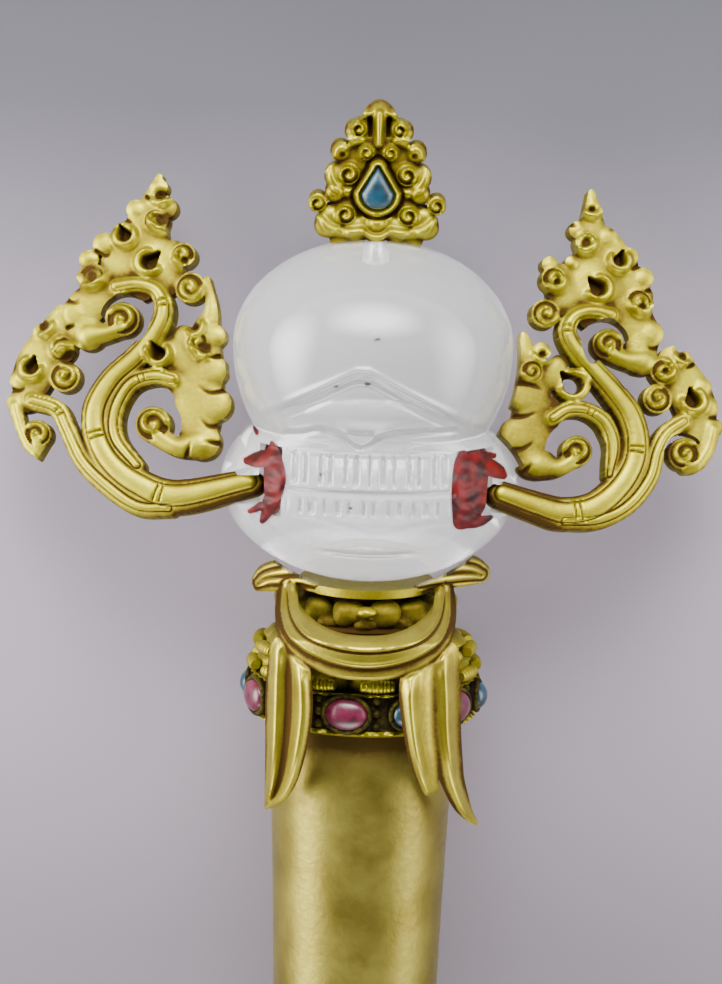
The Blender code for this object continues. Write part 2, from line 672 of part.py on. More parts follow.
def make_crest(finish):
    """Cast the crest, with a pin down into the crystal."""
    relief = crest_relief()

    def outside(u, v):
        return np.maximum(relief.outside(u, v), GAP - dome_outline(u, v))

    half, low, high = CREST_WINDOW
    loops = relief_loops(outside, (-half, CREST_FOOT_Y + low), (half, CREST_FOOT_Y + high),
                         CREST_CELL, CREST_SLACK, SPECK_AREA)
    rings = [drop_ring(GAP), drop_ring(GAP + BEZEL_WALL), drop_ring(GAP + BEZEL_WIDTH)]
    extra = []
    for point in relief_points(relief, loops, CREST_POINTS, CREST_MARGIN):
        away = float(stem_distance(np.array(point[0]), np.array(point[1]), drop_path())[0])
        if away > GAP + BEZEL_WIDTH + 0.5 and dome_outline(*point) > 3.0 * GAP:
            extra.append(point)

    def front(u, v):
        away = float(stem_distance(np.array(u), np.array(v), drop_path())[0])
        if away < GAP + 0.5 * BEZEL_WALL:
            return (u, v, CREST_FLOOR)
        if away < GAP + BEZEL_WIDTH + 0.5 * BEZEL_WALL:
            return (u, v, BEZEL_HEIGHT)
        return (u, v, float(relief.height(np.array(u), np.array(v))))

    def back(u, v):
        return (u, v, CREST_BACK)

    crest = add_piece("crest", plate(loops, extra, front, back, rings), finish)
    foot_y = CREST_FOOT_Y - PIN_DEPTH + GAP
    pin = add_piece("crest_pin", turned([(foot_y, PIN_RADIUS), (DROP_Y - 4.0, PIN_RADIUS)], 12), finish)
    combine(crest, pin, "UNION")


def make_crest_stone(finish):
    """Cut the drop-shaped stone in the crest."""
    base = CREST_FLOOR + GAP
    levels = [(0.0, 0.0), (0.0, 0.45), (-0.5, 1.0), (-1.3, 1.0 + 0.4 * DROP_RISE)]
    rings = [[(u, v, base + rise) for u, v in drop_ring(offset)] for offset, rise in levels]
    add_piece("crest_turquoise", stacked(rings), finish)


def shape_of(y, middle, above, below):
    """Share of an egg's full radius at a height y."""
    reach = above if y > middle else below
    return math.sqrt(max(0.0, 1.0 - ((y - middle) / reach) ** 2))


def eased(share):
    """Smooth step from 0 to 1."""
    share = min(1.0, max(0.0, share))
    return share * share * (3.0 - 2.0 * share)


def carving(x, y):
    """Depth that the face carving takes off the crystal's front."""
    brow = BROW_APEX_Y - (BROW_APEX_Y - BROW_END_Y) * abs(x) / BROW_HALF_WIDTH
    side = eased(1.5 * (1.0 - abs(x) / (BROW_HALF_WIDTH + 3.0)))
    depth = BROW_STEP * side * eased((brow - y) / 2.0) * eased((y + 4.0) / 4.0)
    lens = 1.0 - (x / LENS_HALF[0]) ** 2 - ((y - LENS_Y) / LENS_HALF[1]) ** 2
    depth += LENS_DEPTH * max(0.0, lens)
    if abs(x) < MOUTH_HALF_WIDTH:
        depth += MOUTH_DEPTH * max(0.0, 1.0 - abs(y - MOUTH_Y) / 1.1)
    return depth


def cut_flat(mesh, height):
    """Grind the underside of a body flat at a height below the axis."""
    bottom = Vector((0.0, 0.0, -height))
    parts = list(mesh.verts) + list(mesh.edges) + list(mesh.faces)
    bmesh.ops.bisect_plane(mesh, geom=parts, plane_co=bottom, plane_no=(0.0, 0.0, -1.0), clear_outer=True)
    rim = [edge for edge in mesh.edges if edge.is_boundary]
    bmesh.ops.edgeloop_fill(mesh, edges=rim)


def crystal_mesh():
    """Loft the crystal head and carve its front."""
    top = DOME_Y + DOME_TOP
    heights = list(np.linspace(JAW_CUT_Y, WAIST_Y, 13))
    rising = np.sin(np.linspace(0.0, math.pi / 2.0, 14))
    heights += list(WAIST_Y + (top - 0.08 - WAIST_Y) * rising[1:])
    rings = []
    for y in heights:
        dome = shape_of(y, DOME_Y, DOME_TOP, DOME_FALL) if y >= WAIST_Y - 4.0 else 0.0
        jaw = shape_of(y, JAW_Y, JAW_RISE, JAW_FALL)
        width = max(DOME_HALF_WIDTH * dome, JAW_HALF_WIDTH * jaw)
        front = max(DOME_DEPTH * dome, JAW_FRONT * jaw)
        back = max(DOME_DEPTH * dome, JAW_BACK * jaw)
        ring = []
        for i in range(CRYSTAL_SIDES):
            angle = 2.0 * math.pi * (i + 0.5) / CRYSTAL_SIDES
            x, rise = width * math.cos(angle), math.sin(angle)
            z = (front if rise > 0.0 else back) * rise
            if rise > 0.0:
                z = max(0.2 * z, z - carving(x, y) * rise)
            ring.append((x, y, z))
        rings.append(ring)
    mesh = stacked(rings)
    cut_flat(mesh, AXIS_HEIGHT)
    return mesh


def slab(outline, low_z, high_z):
    """Raise a closed (x, y) outline between two heights."""
    return stacked([[(x, y, z) for x, y in outline] for z in (low_z, high_z)])


def corner_outline(sign, inner, outer, top, bottom):
    """Corners of an upright box at one side of the mouth."""
    return [(sign * inner, bottom), (sign * outer, bottom), (sign * outer, top), (sign * inner, top)]


def make_crystal(finish):
    """Carve the crystal, drill it for the crest and open its mouth corners."""
    head = add_piece("crystal_head", crystal_mesh(), finish)
    foot_y = CREST_FOOT_Y - PIN_DEPTH
    drill = turned([(foot_y, PIN_RADIUS + GAP), (CREST_FOOT_Y + 5.0, PIN_RADIUS + GAP)], 12)
    combine(head, add_piece("pin_hole", drill, finish), "DIFFERENCE")
    above = JAW_FRONT + 5.0
    for side, sign in (("left", -1.0), ("right", 1.0)):
        end = JAW_HALF_WIDTH - ARM_INSET[side] + GAP
        chamber = slab(corner_outline(sign, CORNER_X, end + 1.5, CORNER_TOP, CORNER_BOTTOM),
                       CORNER_FLOOR_Z, above)
        combine(head, add_piece(f"chamber_{side}", chamber, finish), "DIFFERENCE")
        elbow = WINGS[side]["s_stem"][0]
        slope = (elbow[1] + ARM_DROP[side]) / (elbow[0] + ARM_INSET[side] - ARM_HALF)
        room = ARM_HALF + CHANNEL_ROOM
        far = JAW_HALF_WIDTH + 3.0
        near_y = JAW_Y - ARM_DROP[side] - slope * (ARM_HALF - GAP)
        far_y = near_y + slope * (far - end)
        outline = [(sign * end, near_y - room), (sign * far, far_y - room),
                   (sign * far, far_y + room), (sign * end, near_y + room)]
        channel = slab(outline, CHANNEL_FLOOR_Z, above)
        combine(head, add_piece(f"channel_{side}", channel, finish), "DIFFERENCE")


def make_lacquer(side, sign, finish):
    """Fill one mouth corner with a lump of red lacquer behind the arm's end."""
    inner, outer = CORNER_X + GAP, JAW_HALF_WIDTH - ARM_INSET[side] - 3.0 * GAP
    top, bottom = CORNER_TOP - GAP, CORNER_BOTTOM + GAP
    middle = 0.5 * (top + bottom)
    half = 0.5 * (top - bottom)
    rings = []
    for z, share in ((CORNER_FLOOR_Z + GAP, 1.0), (0.6 * LACQUER_FRONT_Z, 1.0), (LACQUER_FRONT_Z, 0.7)):
        reach = inner + (outer - inner) * (0.5 + 0.5 * share)
        outline = [(sign * inner, middle - half), (sign * reach, middle - half * share),
                   (sign * outer, middle - 0.3 * half), (sign * outer, middle + 0.4 * half),
                   (sign * reach, middle + half * share), (sign * inner, middle + half)]
        rings.append([(x, y, z) for x, y in outline])
    add_piece(f"lacquer_{side}", stacked(rings), finish)


def seat_bulge(y, angle):
    """Round lobes of the ring under the crystal."""
    reach = max(0.0, 1.0 - abs(y - SEAT_TOP_Y + SEAT_LOBE_DROP) / SEAT_LOBE_REACH)
    return SEAT_LOBE_DEPTH * reach ** 0.5 * (abs(math.cos(0.5 * SEAT_LOBES * angle)) - 0.4)


def make_seat(finish):
    """Turn the seat that the crystal stands on."""
    profile = [(SEAT_TOP_Y - drop, radius) for drop, radius in SEAT_PROFILE]
    add_piece("crystal_seat", turned(profile, 3 * SEAT_LOBES, seat_bulge), finish)


def collar_bulge(y, angle):
    """Curled lobes of the collar's two tiers, and the pads under its stones."""
    drop = COLLAR_TOP_Y - y
    turn = 0.5 * GEMS * angle
    upper = max(0.0, 1.0 - abs(drop - UPPER_TIER_DROP) / TIER_REACH) * abs(math.cos(turn))
    lower = max(0.0, 1.0 - abs(drop - LOWER_TIER_DROP) / TIER_REACH) * abs(math.sin(turn))
    reach = TIER_DEPTH * (upper + lower)
    if abs(y - GEM_Y) < GEM_PAD and math.cos(GEMS * angle) > -0.1:
        reach += BEZEL_RADIUS - BAND_RADIUS
    return reach


def make_collar(finish):
    """Turn the jewelled collar, its pads facing the stones."""
    profile = [(COLLAR_TOP_Y - drop, radius) for drop, radius in COLLAR_PROFILE]
    collar = turned(profile, 4 * GEMS, collar_bulge)
    turn = Matrix.Rotation(GEM_START, 4, "Y")
    bmesh.ops.transform(collar, matrix=turn, verts=collar.verts)
    add_piece("jewelled_collar", collar, finish)


def gem_mesh(half, rise, sides=8):
    """A round-topped stone on a flat back, its face along +Z."""
    rings = []
    for height, share in ((0.0, 1.0), (0.35, 1.0), (0.75, 0.8), (1.0, 0.4)):
        ring = []
        for i in range(sides):
            angle = 2.0 * math.pi * i / sides
            ring.append((half[0] * share * math.cos(angle), half[1] * share * math.sin(angle), rise * height))
        rings.append(ring)
    return stacked(rings)


def make_gems(ruby, turquoise):
    """Set rubies and turquoises in turn round the collar."""
    for i in range(GEMS):
        angle = GEM_START + 2.0 * math.pi * i / GEMS
        red = i % 2 == 0
        half = RUBY_HALF if red else TURQUOISE_HALF
        mesh = gem_mesh(half, GEM_RISE)
        bmesh.ops.translate(mesh, vec=(0.0, GEM_Y, BEZEL_RADIUS + GAP), verts=mesh.verts)
        bmesh.ops.rotate(mesh, cent=(0.0, 0.0, 0.0), matrix=Matrix.Rotation(angle, 3, "Y"), verts=mesh.verts)
        name = f"ruby_{i // 2 + 1}" if red else f"turquoise_{i // 2 + 1}"
        add_piece(name, mesh, ruby if red else turquoise)


# Scarf, in millimetres to the right of the axis (u) and up from the crystal's foot (v)
SCARF_SWAG = [(13.4, -1.4, 1.3), (13.3, -4.6, 1.8), (10.6, -8.0, 2.3), (5.6, -9.9, 2.7), (0.0, -10.3, 2.8)]
SCARF_RIM = [(12.6, -1.6, 0.8), (11.8, -4.4, 0.9), (8.6, -7.2, 1.0), (4.4, -8.6, 1.1), (0.0, -9.0, 1.1)]
SCARF_TAILS = [
    [(-13.4, -10.0, 2.0), (-14.7, -15.0, 2.4), (-15.0, -23.0, 2.4), (-15.0, -30.0, 1.9), (-15.9, -37.6, 0.4)],
    [(-9.8, -11.0, 2.2), (-10.0, -17.0, 2.5), (-10.2, -24.0, 2.0), (-10.9, -30.6, 0.5)],
    [(8.8, -11.0, 2.4), (8.6, -17.0, 2.9), (9.4, -25.0, 2.4), (10.6, -32.2, 0.9)],
    [(13.2, -10.0, 2.0), (14.0, -16.0, 2.3), (14.6, -23.0, 2.2), (16.6, -32.0, 1.6), (20.0, -39.4, 0.4)],
]
SCARF_LEAVES = [
    [(-13.4, -1.6, 1.6), (-15.2, 0.4, 1.9), (-17.4, -0.2, 1.5), (-18.8, -2.6, 0.7)],
    [(13.4, -1.2, 1.6), (15.4, 0.8, 1.9), (17.8, 1.6, 1.7), (19.6, 0.6, 0.9)],
]
SCARF_LOOP_RADIUS = 14.6
SCARF_LOOP_TUBE = 1.2
SCARF_LOOP_Y = JAW_CUT_Y - 4.0
SCARF_LOOP_START = math.radians(32.0)


def hung(points, across=1.0):
    """Hang a band of the scarf from the crystal's foot."""
    return [(across * u, JAW_CUT_Y + v, half) for u, v, half in points]


def scarf_relief():
    """Draw the scarf's swag, leaves and tails in the plane."""
    relief = Relief(SCARF_HALF_THICKNESS - 0.3)
    relief.band(hung(SCARF_SWAG, -1.0) + hung(SCARF_SWAG[-2::-1]), 0.7)
    relief.band(hung(SCARF_RIM, -1.0) + hung(SCARF_RIM[-2::-1]), 1.7)
    for points in SCARF_TAILS:
        relief.band(hung(points), 1.5)
    for points in SCARF_LEAVES:
        relief.band(hung(points), 0.8)
    return relief


def scarf_depth(u, v):
    """Height of the scarf's middle surface over the handle's axis."""
    out = SCARF_NECK_Z + (SCARF_RADIUS - SCARF_NECK_Z) * eased((JAW_CUT_Y - 1.0 - v) / 8.0)
    out -= SCARF_TUCK * eased((JAW_CUT_Y - 25.0 - v) / 16.0)
    return out - u * u / SCARF_BEND


def make_scarf(finish):
    """Shape the scarf: a swag and tails in front, a plain loop behind the neck."""
    relief = scarf_relief()

    def outside(u, v):
        return np.maximum(relief.outside(u, v), 2.0 * GAP - jaw_outline(u, v))

    half, low, high = SCARF_WINDOW
    loops = relief_loops(outside, (-half, JAW_CUT_Y + low), (half, JAW_CUT_Y + high),
                         SCARF_CELL, SCARF_SLACK, SPECK_AREA)
    extra = relief_points(relief, loops, SCARF_POINTS, WING_MARGIN)

    def front(u, v):
        return (u, v, scarf_depth(u, v) + float(relief.height(np.array(u), np.array(v))))

    def back(u, v):
        return (u, v, scarf_depth(u, v) - SCARF_HALF_THICKNESS)

    scarf = add_piece("scarf", plate(loops, extra, front, back), finish)
    rings = []
    for turn in np.linspace(SCARF_LOOP_START, -math.pi - SCARF_LOOP_START, 19):
        ring = []
        for i in range(8):
            angle = 2.0 * math.pi * (i + 0.5) / 8
            reach = SCARF_LOOP_RADIUS + SCARF_LOOP_TUBE * math.cos(angle)
            ring.append((reach * math.cos(turn), SCARF_LOOP_Y + SCARF_LOOP_TUBE * math.sin(angle),
                         reach * math.sin(turn)))
        rings.append(ring)
    combine(scarf, add_piece("scarf_loop", stacked(rings), finish), "UNION")


def make_handle(finish):
    """Turn the tube handle, its mouldings and its knob, ground flat below."""
    tube_end = HANDLE_LENGTH - KNOB_LENGTH - FOOT_LENGTH
    profile = []
    for s in np.linspace(0.0, tube_end, 5):
        profile.append((HANDLE_TOP_Y - s, HANDLE_RADIUS + HANDLE_FLARE * math.exp(-s / FLARE_LENGTH)))
    foot = HANDLE_TOP_Y - tube_end
    profile += [(foot - drop, radius) for drop, radius in FOOT_PROFILE]
    knob_y = foot - FOOT_LENGTH - 0.5 * KNOB_LENGTH
    for turn in list(np.linspace(KNOB_TURN, -KNOB_TURN, 9)) + [KNOB_END]:
        profile.append((knob_y + 0.5 * KNOB_LENGTH * math.sin(turn), KNOB_RADIUS * math.cos(turn)))
    mesh = turned(profile, HANDLE_SIDES)
    cut_flat(mesh, AXIS_HEIGHT)
    add_piece("handle", mesh, finish)


def build():
    """Build every piece of the sceptre."""
    clear_scene()
    axis = bpy.data.objects.new("axis", None)
    axis.location = (0.0, -HEAD_REST_Y * MM, AXIS_HEIGHT * MM)
    bpy.context.collection.objects.link(axis)
    gilt = material("gilt", (0.62, 0.50, 0.16), 0.38, 1.0)
    crystal = material("rock_crystal", (0.97, 0.98, 0.99), 0.03, 0.0, transmission=1.0)
    ruby = material("ruby", (0.52, 0.07, 0.20), 0.15, 0.0)
    turquoise = material("turquoise", (0.04, 0.16, 0.20), 0.25, 0.0)
    lacquer = material("red_lacquer", (0.30, 0.01, 0.02), 0.2, 0.0)
    make_handle(gilt)
    make_collar(gilt)
    make_gems(ruby, turquoise)
    make_seat(gilt)
    make_scarf(gilt)
    make_crystal(crystal)
    make_lacquer("left", -1.0, lacquer)
    make_lacquer("right", 1.0, lacquer)
    make_wing("left", gilt)
    make_wing("right", gilt)
    make_crest(gilt)
    make_crest_stone(turquoise)


build()
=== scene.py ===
"""Ritual sceptre with a rock-crystal skull head: the dressed pieces, the light and the camera.

Lengths are millimetres in the handle's own frame, as in the solids: x across, y along the
handle towards the crest, z up. placed() carries them to metres in the row's frame.
"""

import math

import bmesh
import bpy
import numpy as np
from mathutils import Matrix, Vector


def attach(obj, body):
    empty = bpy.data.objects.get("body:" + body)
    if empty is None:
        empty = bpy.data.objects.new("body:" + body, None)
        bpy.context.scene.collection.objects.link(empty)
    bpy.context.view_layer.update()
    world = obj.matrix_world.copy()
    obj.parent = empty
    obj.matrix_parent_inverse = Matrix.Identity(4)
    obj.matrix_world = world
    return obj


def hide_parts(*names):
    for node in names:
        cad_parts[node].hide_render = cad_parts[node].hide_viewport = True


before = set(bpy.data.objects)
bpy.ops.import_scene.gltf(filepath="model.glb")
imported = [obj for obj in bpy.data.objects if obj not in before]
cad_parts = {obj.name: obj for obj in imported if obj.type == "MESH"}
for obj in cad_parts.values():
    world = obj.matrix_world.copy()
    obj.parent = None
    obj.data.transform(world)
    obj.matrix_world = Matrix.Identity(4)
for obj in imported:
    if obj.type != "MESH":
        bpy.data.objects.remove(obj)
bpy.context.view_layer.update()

MM = 0.001
GAP = 0.3
AXIS_HEIGHT = 22.0
SIDES = {"left": -1.0, "right": 1.0}
HEAD_REST_Y = 11.0
ORIGIN = np.array([0.0, -HEAD_REST_Y, AXIS_HEIGHT])

# Crystal head
DOME_Y = 13.0
DOME_HALF_WIDTH = 23.7
DOME_TOP = 17.8
DOME_FALL = 26.0
DOME_DEPTH = AXIS_HEIGHT + 1.0
JAW_Y = -10.4
JAW_HALF_WIDTH = 25.3
JAW_RISE = 15.4
JAW_FALL = 17.1
JAW_FRONT = 20.0
JAW_BACK = 17.0
JAW_CUT_Y = -27.0
WAIST_Y = -0.8
FACE_ROWS = 176
DOME_ROWS = 52
FRONT_SIDES = 300
BACK_SIDES = 100
PIN_RADIUS = 1.5
PIN_DEPTH = 9.0
CORNER_X = JAW_HALF_WIDTH - 10.7
CORNER_TOP = JAW_Y + 7.7
CORNER_BOTTOM = JAW_Y - 3.8
CORNER_FLOOR_Z = 1.6
CHANNEL_FLOOR_Z = 3.4
ARM_INSET = {"left": 7.7, "right": 5.5}
ARM_DROP = {"left": 0.0, "right": 0.9}
ARM_HALF = 2.2

# Flame wings, drawn flat and then leant and swept back around their arms
WING_Z = 8.0
WING_LEAN = math.tan(math.radians(20.0))
WING_SWEEP = math.tan(math.radians(13.0))
DRAWN_Z = 6.0
DRAWN_SLOPE = math.tan(math.radians(10.5))
WING_BACK = -1.7
WING_EDGE = 0.7
WING_CLEAR = 0.9
ARM_TOP = 4.0
WING_WINDOW = ((-11.3, -9.6), (40.7, 56.4))
WING_CELL = 0.2
SHADE_REACH = 6
SCROLL_RIDGE = 0.55
DROP_RIM = 1.3
DROP_LENGTH = 1.6
DROP_TIP = 0.32

# Crest
CREST_FOOT_Y = DOME_Y + DOME_TOP
CREST_BACK = -3.0
CREST_EDGE = 2.0
CREST_FLOOR = 3.6
CREST_CELL = 0.13
DROP_Y = 9.6
DROP_RADIUS = 2.7
DROP_REACH = 4.2
CREST_SINK = 1.3
BEZEL_WIDTH = 0.9
BEZEL_HEIGHT = 4.8

# Seat, collar, scarf and handle
SEAT_TOP_Y = JAW_CUT_Y - GAP
SEAT_BOTTOM_Y = SEAT_TOP_Y - 7.5
SEAT_LOBES = 10
SEAT_SIDES = 240
COLLAR_TOP_Y = SEAT_BOTTOM_Y - GAP
COLLAR_BOTTOM_Y = COLLAR_TOP_Y - 15.9
COLLAR_SIDES = 432
BEADS = 48.0
BEAD_DROPS = (8.6, 15.2)
TIER_DROPS = (2.6, 6.0)
BAND_RADIUS = 18.6
BEZEL_RADIUS = BAND_RADIUS + 0.9
GEM_Y = COLLAR_TOP_Y - 11.7
GEMS = 12
GEM_START = math.radians(-8.0)
RUBY_HALF = (3.6, 2.7)
TURQUOISE_HALF = (2.6, 2.2)
GEM_RISE = 1.7
SCARF_NECK_Z = 8.0
SCARF_RADIUS = BEZEL_RADIUS + GAP + GEM_RISE + 2.1
SCARF_BEND = 39.0
SCARF_TUCK = 3.0
SCARF_BACK = -0.9
SCARF_CELL = 0.19
LOOP_RADIUS = 14.6
LOOP_START = math.radians(32.0)
HANDLE_TOP_Y = COLLAR_BOTTOM_Y - GAP
HANDLE_SIDES = 192
HANDLE_LENGTH = 302.0
HANDLE_RADIUS = 11.8
HANDLE_FLARE = 4.3
FLARE_LENGTH = 85.0
FOOT_LENGTH = 14.0
KNOB_RADIUS = AXIS_HEIGHT + 0.6
KNOB_LENGTH = 27.0


def placed(points):
    """Carry handle-frame millimetres to metres in the row's frame."""
    return (np.asarray(points, dtype=float) + ORIGIN) * MM


def add_object(name, data):
    """Put a mesh, light or camera in the scene."""
    made = bpy.data.objects.new(name, data)
    bpy.context.scene.collection.objects.link(made)
    return made


def add_mesh(name, bodies, finish, nodes=(), sharp=42.0):
    """Make one dressed piece of (points, faces, shade) bodies, which rides on the root."""
    points, faces, shades, count = [], [], [], 0
    for spots, sides, *shade in bodies:
        points.append(np.asarray(spots))
        faces += [[i + count for i in side] for side in sides]
        shades.append(np.broadcast_to(shade[0] if shade else 0.0, len(spots)))
        count += len(spots)
    data = bpy.data.meshes.new(name)
    data.from_pydata(placed(np.vstack(points)).tolist(), [], faces)
    data.validate()
    data.materials.append(finish)
    data.shade_smooth()
    data.set_sharp_from_angle(angle=math.radians(sharp))
    # Painted shade for each point, which the gilt materials read to darken their colour.
    layer = data.attributes.new("painted_shade", "FLOAT", "POINT")
    layer.data.foreach_set("value", np.concatenate(shades).astype(np.float32))
    piece = add_object(name, data)
    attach(piece, "root")
    if nodes:
        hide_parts(*nodes)
    return piece


def eased(share):
    """Smooth step from 0 to 1."""
    share = np.clip(share, 0.0, 1.0)
    return share * share * (3.0 - 2.0 * share)


def bump(distance, width):
    """A soft ridge one high, a width to either side."""
    return np.exp(-(distance / width) ** 2)


def smooth_path(points, pieces=8):
    """Run a Catmull-Rom curve through (u, v, half width) points."""
    rows = np.array(points, dtype=float)
    rows = np.vstack([2 * rows[0] - rows[1], rows, 2 * rows[-1] - rows[-2]])
    made = []
    for a, b, c, d in zip(rows, rows[1:], rows[2:], rows[3:]):
        for t in np.arange(pieces) / pieces:
            made.append(0.5 * (2 * b + (c - a) * t + (2 * a - 5 * b + 4 * c - d) * t * t
                               + (3 * b - a - 3 * c + d) * t ** 3))
    made.append(rows[-2])
    return np.array(made)


def band_field(u, v, path):
    """Distance outside a tapered band, its half width, the run along it and the side."""
    best = np.full(np.shape(u), 1e9)
    width = np.ones(np.shape(u))
    run = np.zeros(np.shape(u))
    side = np.zeros(np.shape(u))
    gone = 0.0
    for start, end in zip(path, path[1:]):
        step = end[:2] - start[:2]
        length = float(np.hypot(*step))
        across_u, across_v = u - start[0], v - start[1]
        share = np.clip((across_u * step[0] + across_v * step[1]) / max(length ** 2, 1e-9), 0.0, 1.0)
        half = start[2] + share * (end[2] - start[2])
        away = np.hypot(across_u - share * step[0], across_v - share * step[1]) - half
        nearer = away < best
        best = np.where(nearer, away, best)
        width = np.where(nearer, half, width)
        run = np.where(nearer, gone + share * length, run)
        side = np.where(nearer, np.sign(step[0] * across_v - step[1] * across_u), side)
        gone += length
    return best, width, run, side


def arc_path(u, v, radius, start, end, half, pieces=14):
    """A crescent band round a centre, between two angles in degrees."""
    path = []
    for share in np.linspace(0.0, 1.0, pieces):
        turn = math.radians(start + share * (end - start))
        body = half * (0.35 + 0.65 * math.sin(math.pi * share) ** 0.7)
        path.append((u + radius * math.cos(turn), v + radius * math.sin(turn), body))
    return np.array(path)


def slot_path(u, v, radius, start, end, wide, narrow):
    """An open slot round a scroll between two angles in degrees, wide at its start."""
    path = []
    for share in np.linspace(0.0, 1.0, 25):
        half = wide + share * (narrow - wide)
        turn = math.radians(start + share * (end - start))
        path.append((u + (radius + half) * math.cos(turn), v + (radius + half) * math.sin(turn), half))
    return np.array(path)


def blurred(grid, mask, reach):
    """Average a grid over the masked points within reach cells, three times over."""
    fields = [np.where(mask, grid, 0.0), mask.astype(float)]
    for axis in (0, 1) * 3:
        at = np.arange(grid.shape[axis])
        pads = [(reach + 1, reach) if k == axis else (0, 0) for k in (0, 1)]
        totals = [np.cumsum(np.pad(field, pads), axis=axis) for field in fields]
        fields = [total.take(at + 2 * reach + 1, axis) - total.take(at, axis) for total in totals]
    return fields[0] / np.maximum(fields[1], 1e-9)


def disc(u, v, radius):
    """A round spot as a path."""
    return np.array([(u, v, radius)] * 2)


def near(us, vs, path, margin=1.0):
    """Slices of a grid round a path."""
    reach = path[:, 2].max() + margin
    return tuple(slice(*np.searchsorted(line, (path[:, k].min() - reach, path[:, k].max() + reach)))
                 for k, line in enumerate((us, vs)))


class Relief:
    """A pierced relief plate on a fine grid, built from bands, discs, scrolls and cuts."""

    def __init__(self, window, cell, edge):
        (low_u, low_v), (high_u, high_v) = window
        self.cell = cell
        self.edge = edge
        self.us = np.arange(low_u, high_u + cell, cell)
        self.vs = np.arange(low_v, high_v + cell, cell)
        self.u, self.v = np.meshgrid(self.us, self.vs, indexing="ij")
        self.top = np.full(self.u.shape, edge)
        self.sunk = np.zeros(self.u.shape)
        # Extra darkening on top of the painted shade: painted shade on the scarf's lowest band, less painted
        # shade over the crest, darker inner masses on the wings.
        self.added_darkening = np.zeros(self.u.shape)
        self.solids, self.cuts, self.kept = [], [], []
        self.clip = None

    def measure(self, path, margin=1.0):
        """The part of the grid round a path, and what band_field says there."""
        spot = near(self.us, self.vs, path, margin)
        return spot, *band_field(self.u[spot], self.v[spot], path)

    def round_about(self, u, v, radius):
        """The part of the grid round a middle, and the distance from it."""
        spot = near(self.us, self.vs, disc(u, v, radius))
        return spot, np.hypot(self.u[spot] - u, self.v[spot] - v)

    def raise_to(self, spot, where, height):
        """Lift the plate's face to a height where it is lower."""
        self.top[spot] = np.where(where, np.maximum(self.top[spot], height), self.top[spot])

    def engrave(self, spot, depth):
        """Cut the face down by a depth, which also paints shade into the cut."""
        self.sunk[spot] = np.maximum(self.sunk[spot], depth)

    def band(self, path, rise, grooves=(), groove_depth=0.34, ticks=(), solid=True, uncut=False, lift=0.0,
             power=2.2, steep=0.5, groove_width=0.17):
        """A tapered band: its crown, grooves along its edges and pairs of short ticks across it."""
        if solid:
            self.solids.append(path)
        if uncut:
            self.kept.append(path)
        spot, away, half, run, _ = self.measure(path)
        across = np.clip(1.0 + away / half, 0.0, 1.0)
        crown = self.edge + lift + rise * (1.0 - across ** power) ** steep
        owned = (away < 0.0) & (crown >= self.top[spot])
        self.raise_to(spot, away < 0.0, crown)
        cut = np.zeros(away.shape)
        for share in grooves:
            cut = np.maximum(cut, groove_depth * bump((across - share) * half, groove_width))
        for tick in ticks:
            middle = band_field(*np.array(tick), path)[2]
            for offset in (-0.5, 0.5):
                cut = np.maximum(cut, 0.4 * bump(run - middle - offset, 0.17) * (across < 0.5))
        self.engrave(spot, np.where(owned, cut, 0.0))
        self.sunk[spot] = np.where(owned & (cut == 0.0), 0.0, self.sunk[spot])

    def lobe(self, u, v, radius, rise, lift=0.0, power=2.0):
        """A rounded lobe."""
        self.solids.append(disc(u, v, radius))
        spot, away = self.round_about(u, v, radius)
        across = np.clip(1.0 + (away - radius) / radius, 0.0, 1.0)
        self.raise_to(spot, away - radius < 0.0, self.edge + lift + rise * (1.0 - across ** power) ** 0.6)

    def scroll(self, u, v, radius, rise, start, hand, lift, turns=1.35):
        """A volute: a ridge wound in over a low dome to a small bead."""
        dome = (1.0 - SCROLL_RIDGE) * rise
        self.lobe(u, v, radius, dome, lift)
        spot, away = self.round_about(u, v, radius)
        turn = hand * (np.arctan2(self.v[spot] - v, self.u[spot] - u) - math.radians(start))
        turn = np.mod(turn, 2.0 * math.pi) / (2.0 * math.pi)
        ridge = 0.9 * bump(away, 0.16 * radius)
        for lap in (0, 1, 2):
            wound = (turn + lap) / turns
            fade = eased(8.0 * (1.0 - wound)) * eased(10.0 * wound + 0.35)
            line = radius * (0.80 - 0.66 * wound)
            ridge = np.maximum(ridge, fade * bump(away - line, 0.13 * radius + 0.06))
        owned = (away < radius) & (self.top[spot] < self.edge + lift + dome + 0.05)
        self.top[spot] += np.where(owned, SCROLL_RIDGE * rise * ridge, 0.0)
        # The hollow round the ridge is sunk, which paints shade into it.
        hollow = 0.42 * (1.0 - ridge) * eased((0.9 * radius - away) / 0.3)
        self.sunk[spot] = np.where(owned, hollow, self.sunk[spot])

    def dimple(self, u, v, radius, depth):
        """A round hollow in the face."""
        spot, away = self.round_about(u, v, 2.0 * radius)
        self.engrave(spot, depth * bump(away, radius))

    def swell(self, path, rise):
        """Raise a rounded bead along a path over whatever lies there."""
        spot, away, half, *_ = self.measure(path)
        across = np.clip(1.0 + away / half, 0.0, 1.0)
        profile = np.where(away < 0.0, (1.0 - across ** 2.2) ** 0.55, 0.0)
        self.top[spot] += rise * profile
        self.sunk[spot] *= 1.0 - np.clip(1.6 * profile, 0.0, 1.0)

    def crescent(self, u, v, radius, start, end, half, rise):
        """A raised hook with a hollow inside its bend, darkened by painted shade."""
        middle = math.radians(0.5 * (start + end))
        inset = 0.25 * radius
        self.dimple(u + inset * math.cos(middle), v + inset * math.sin(middle),
                    max(0.45, 0.62 * (radius - half)), 0.9)
        self.swell(arc_path(u, v, radius, start, end, half), rise)

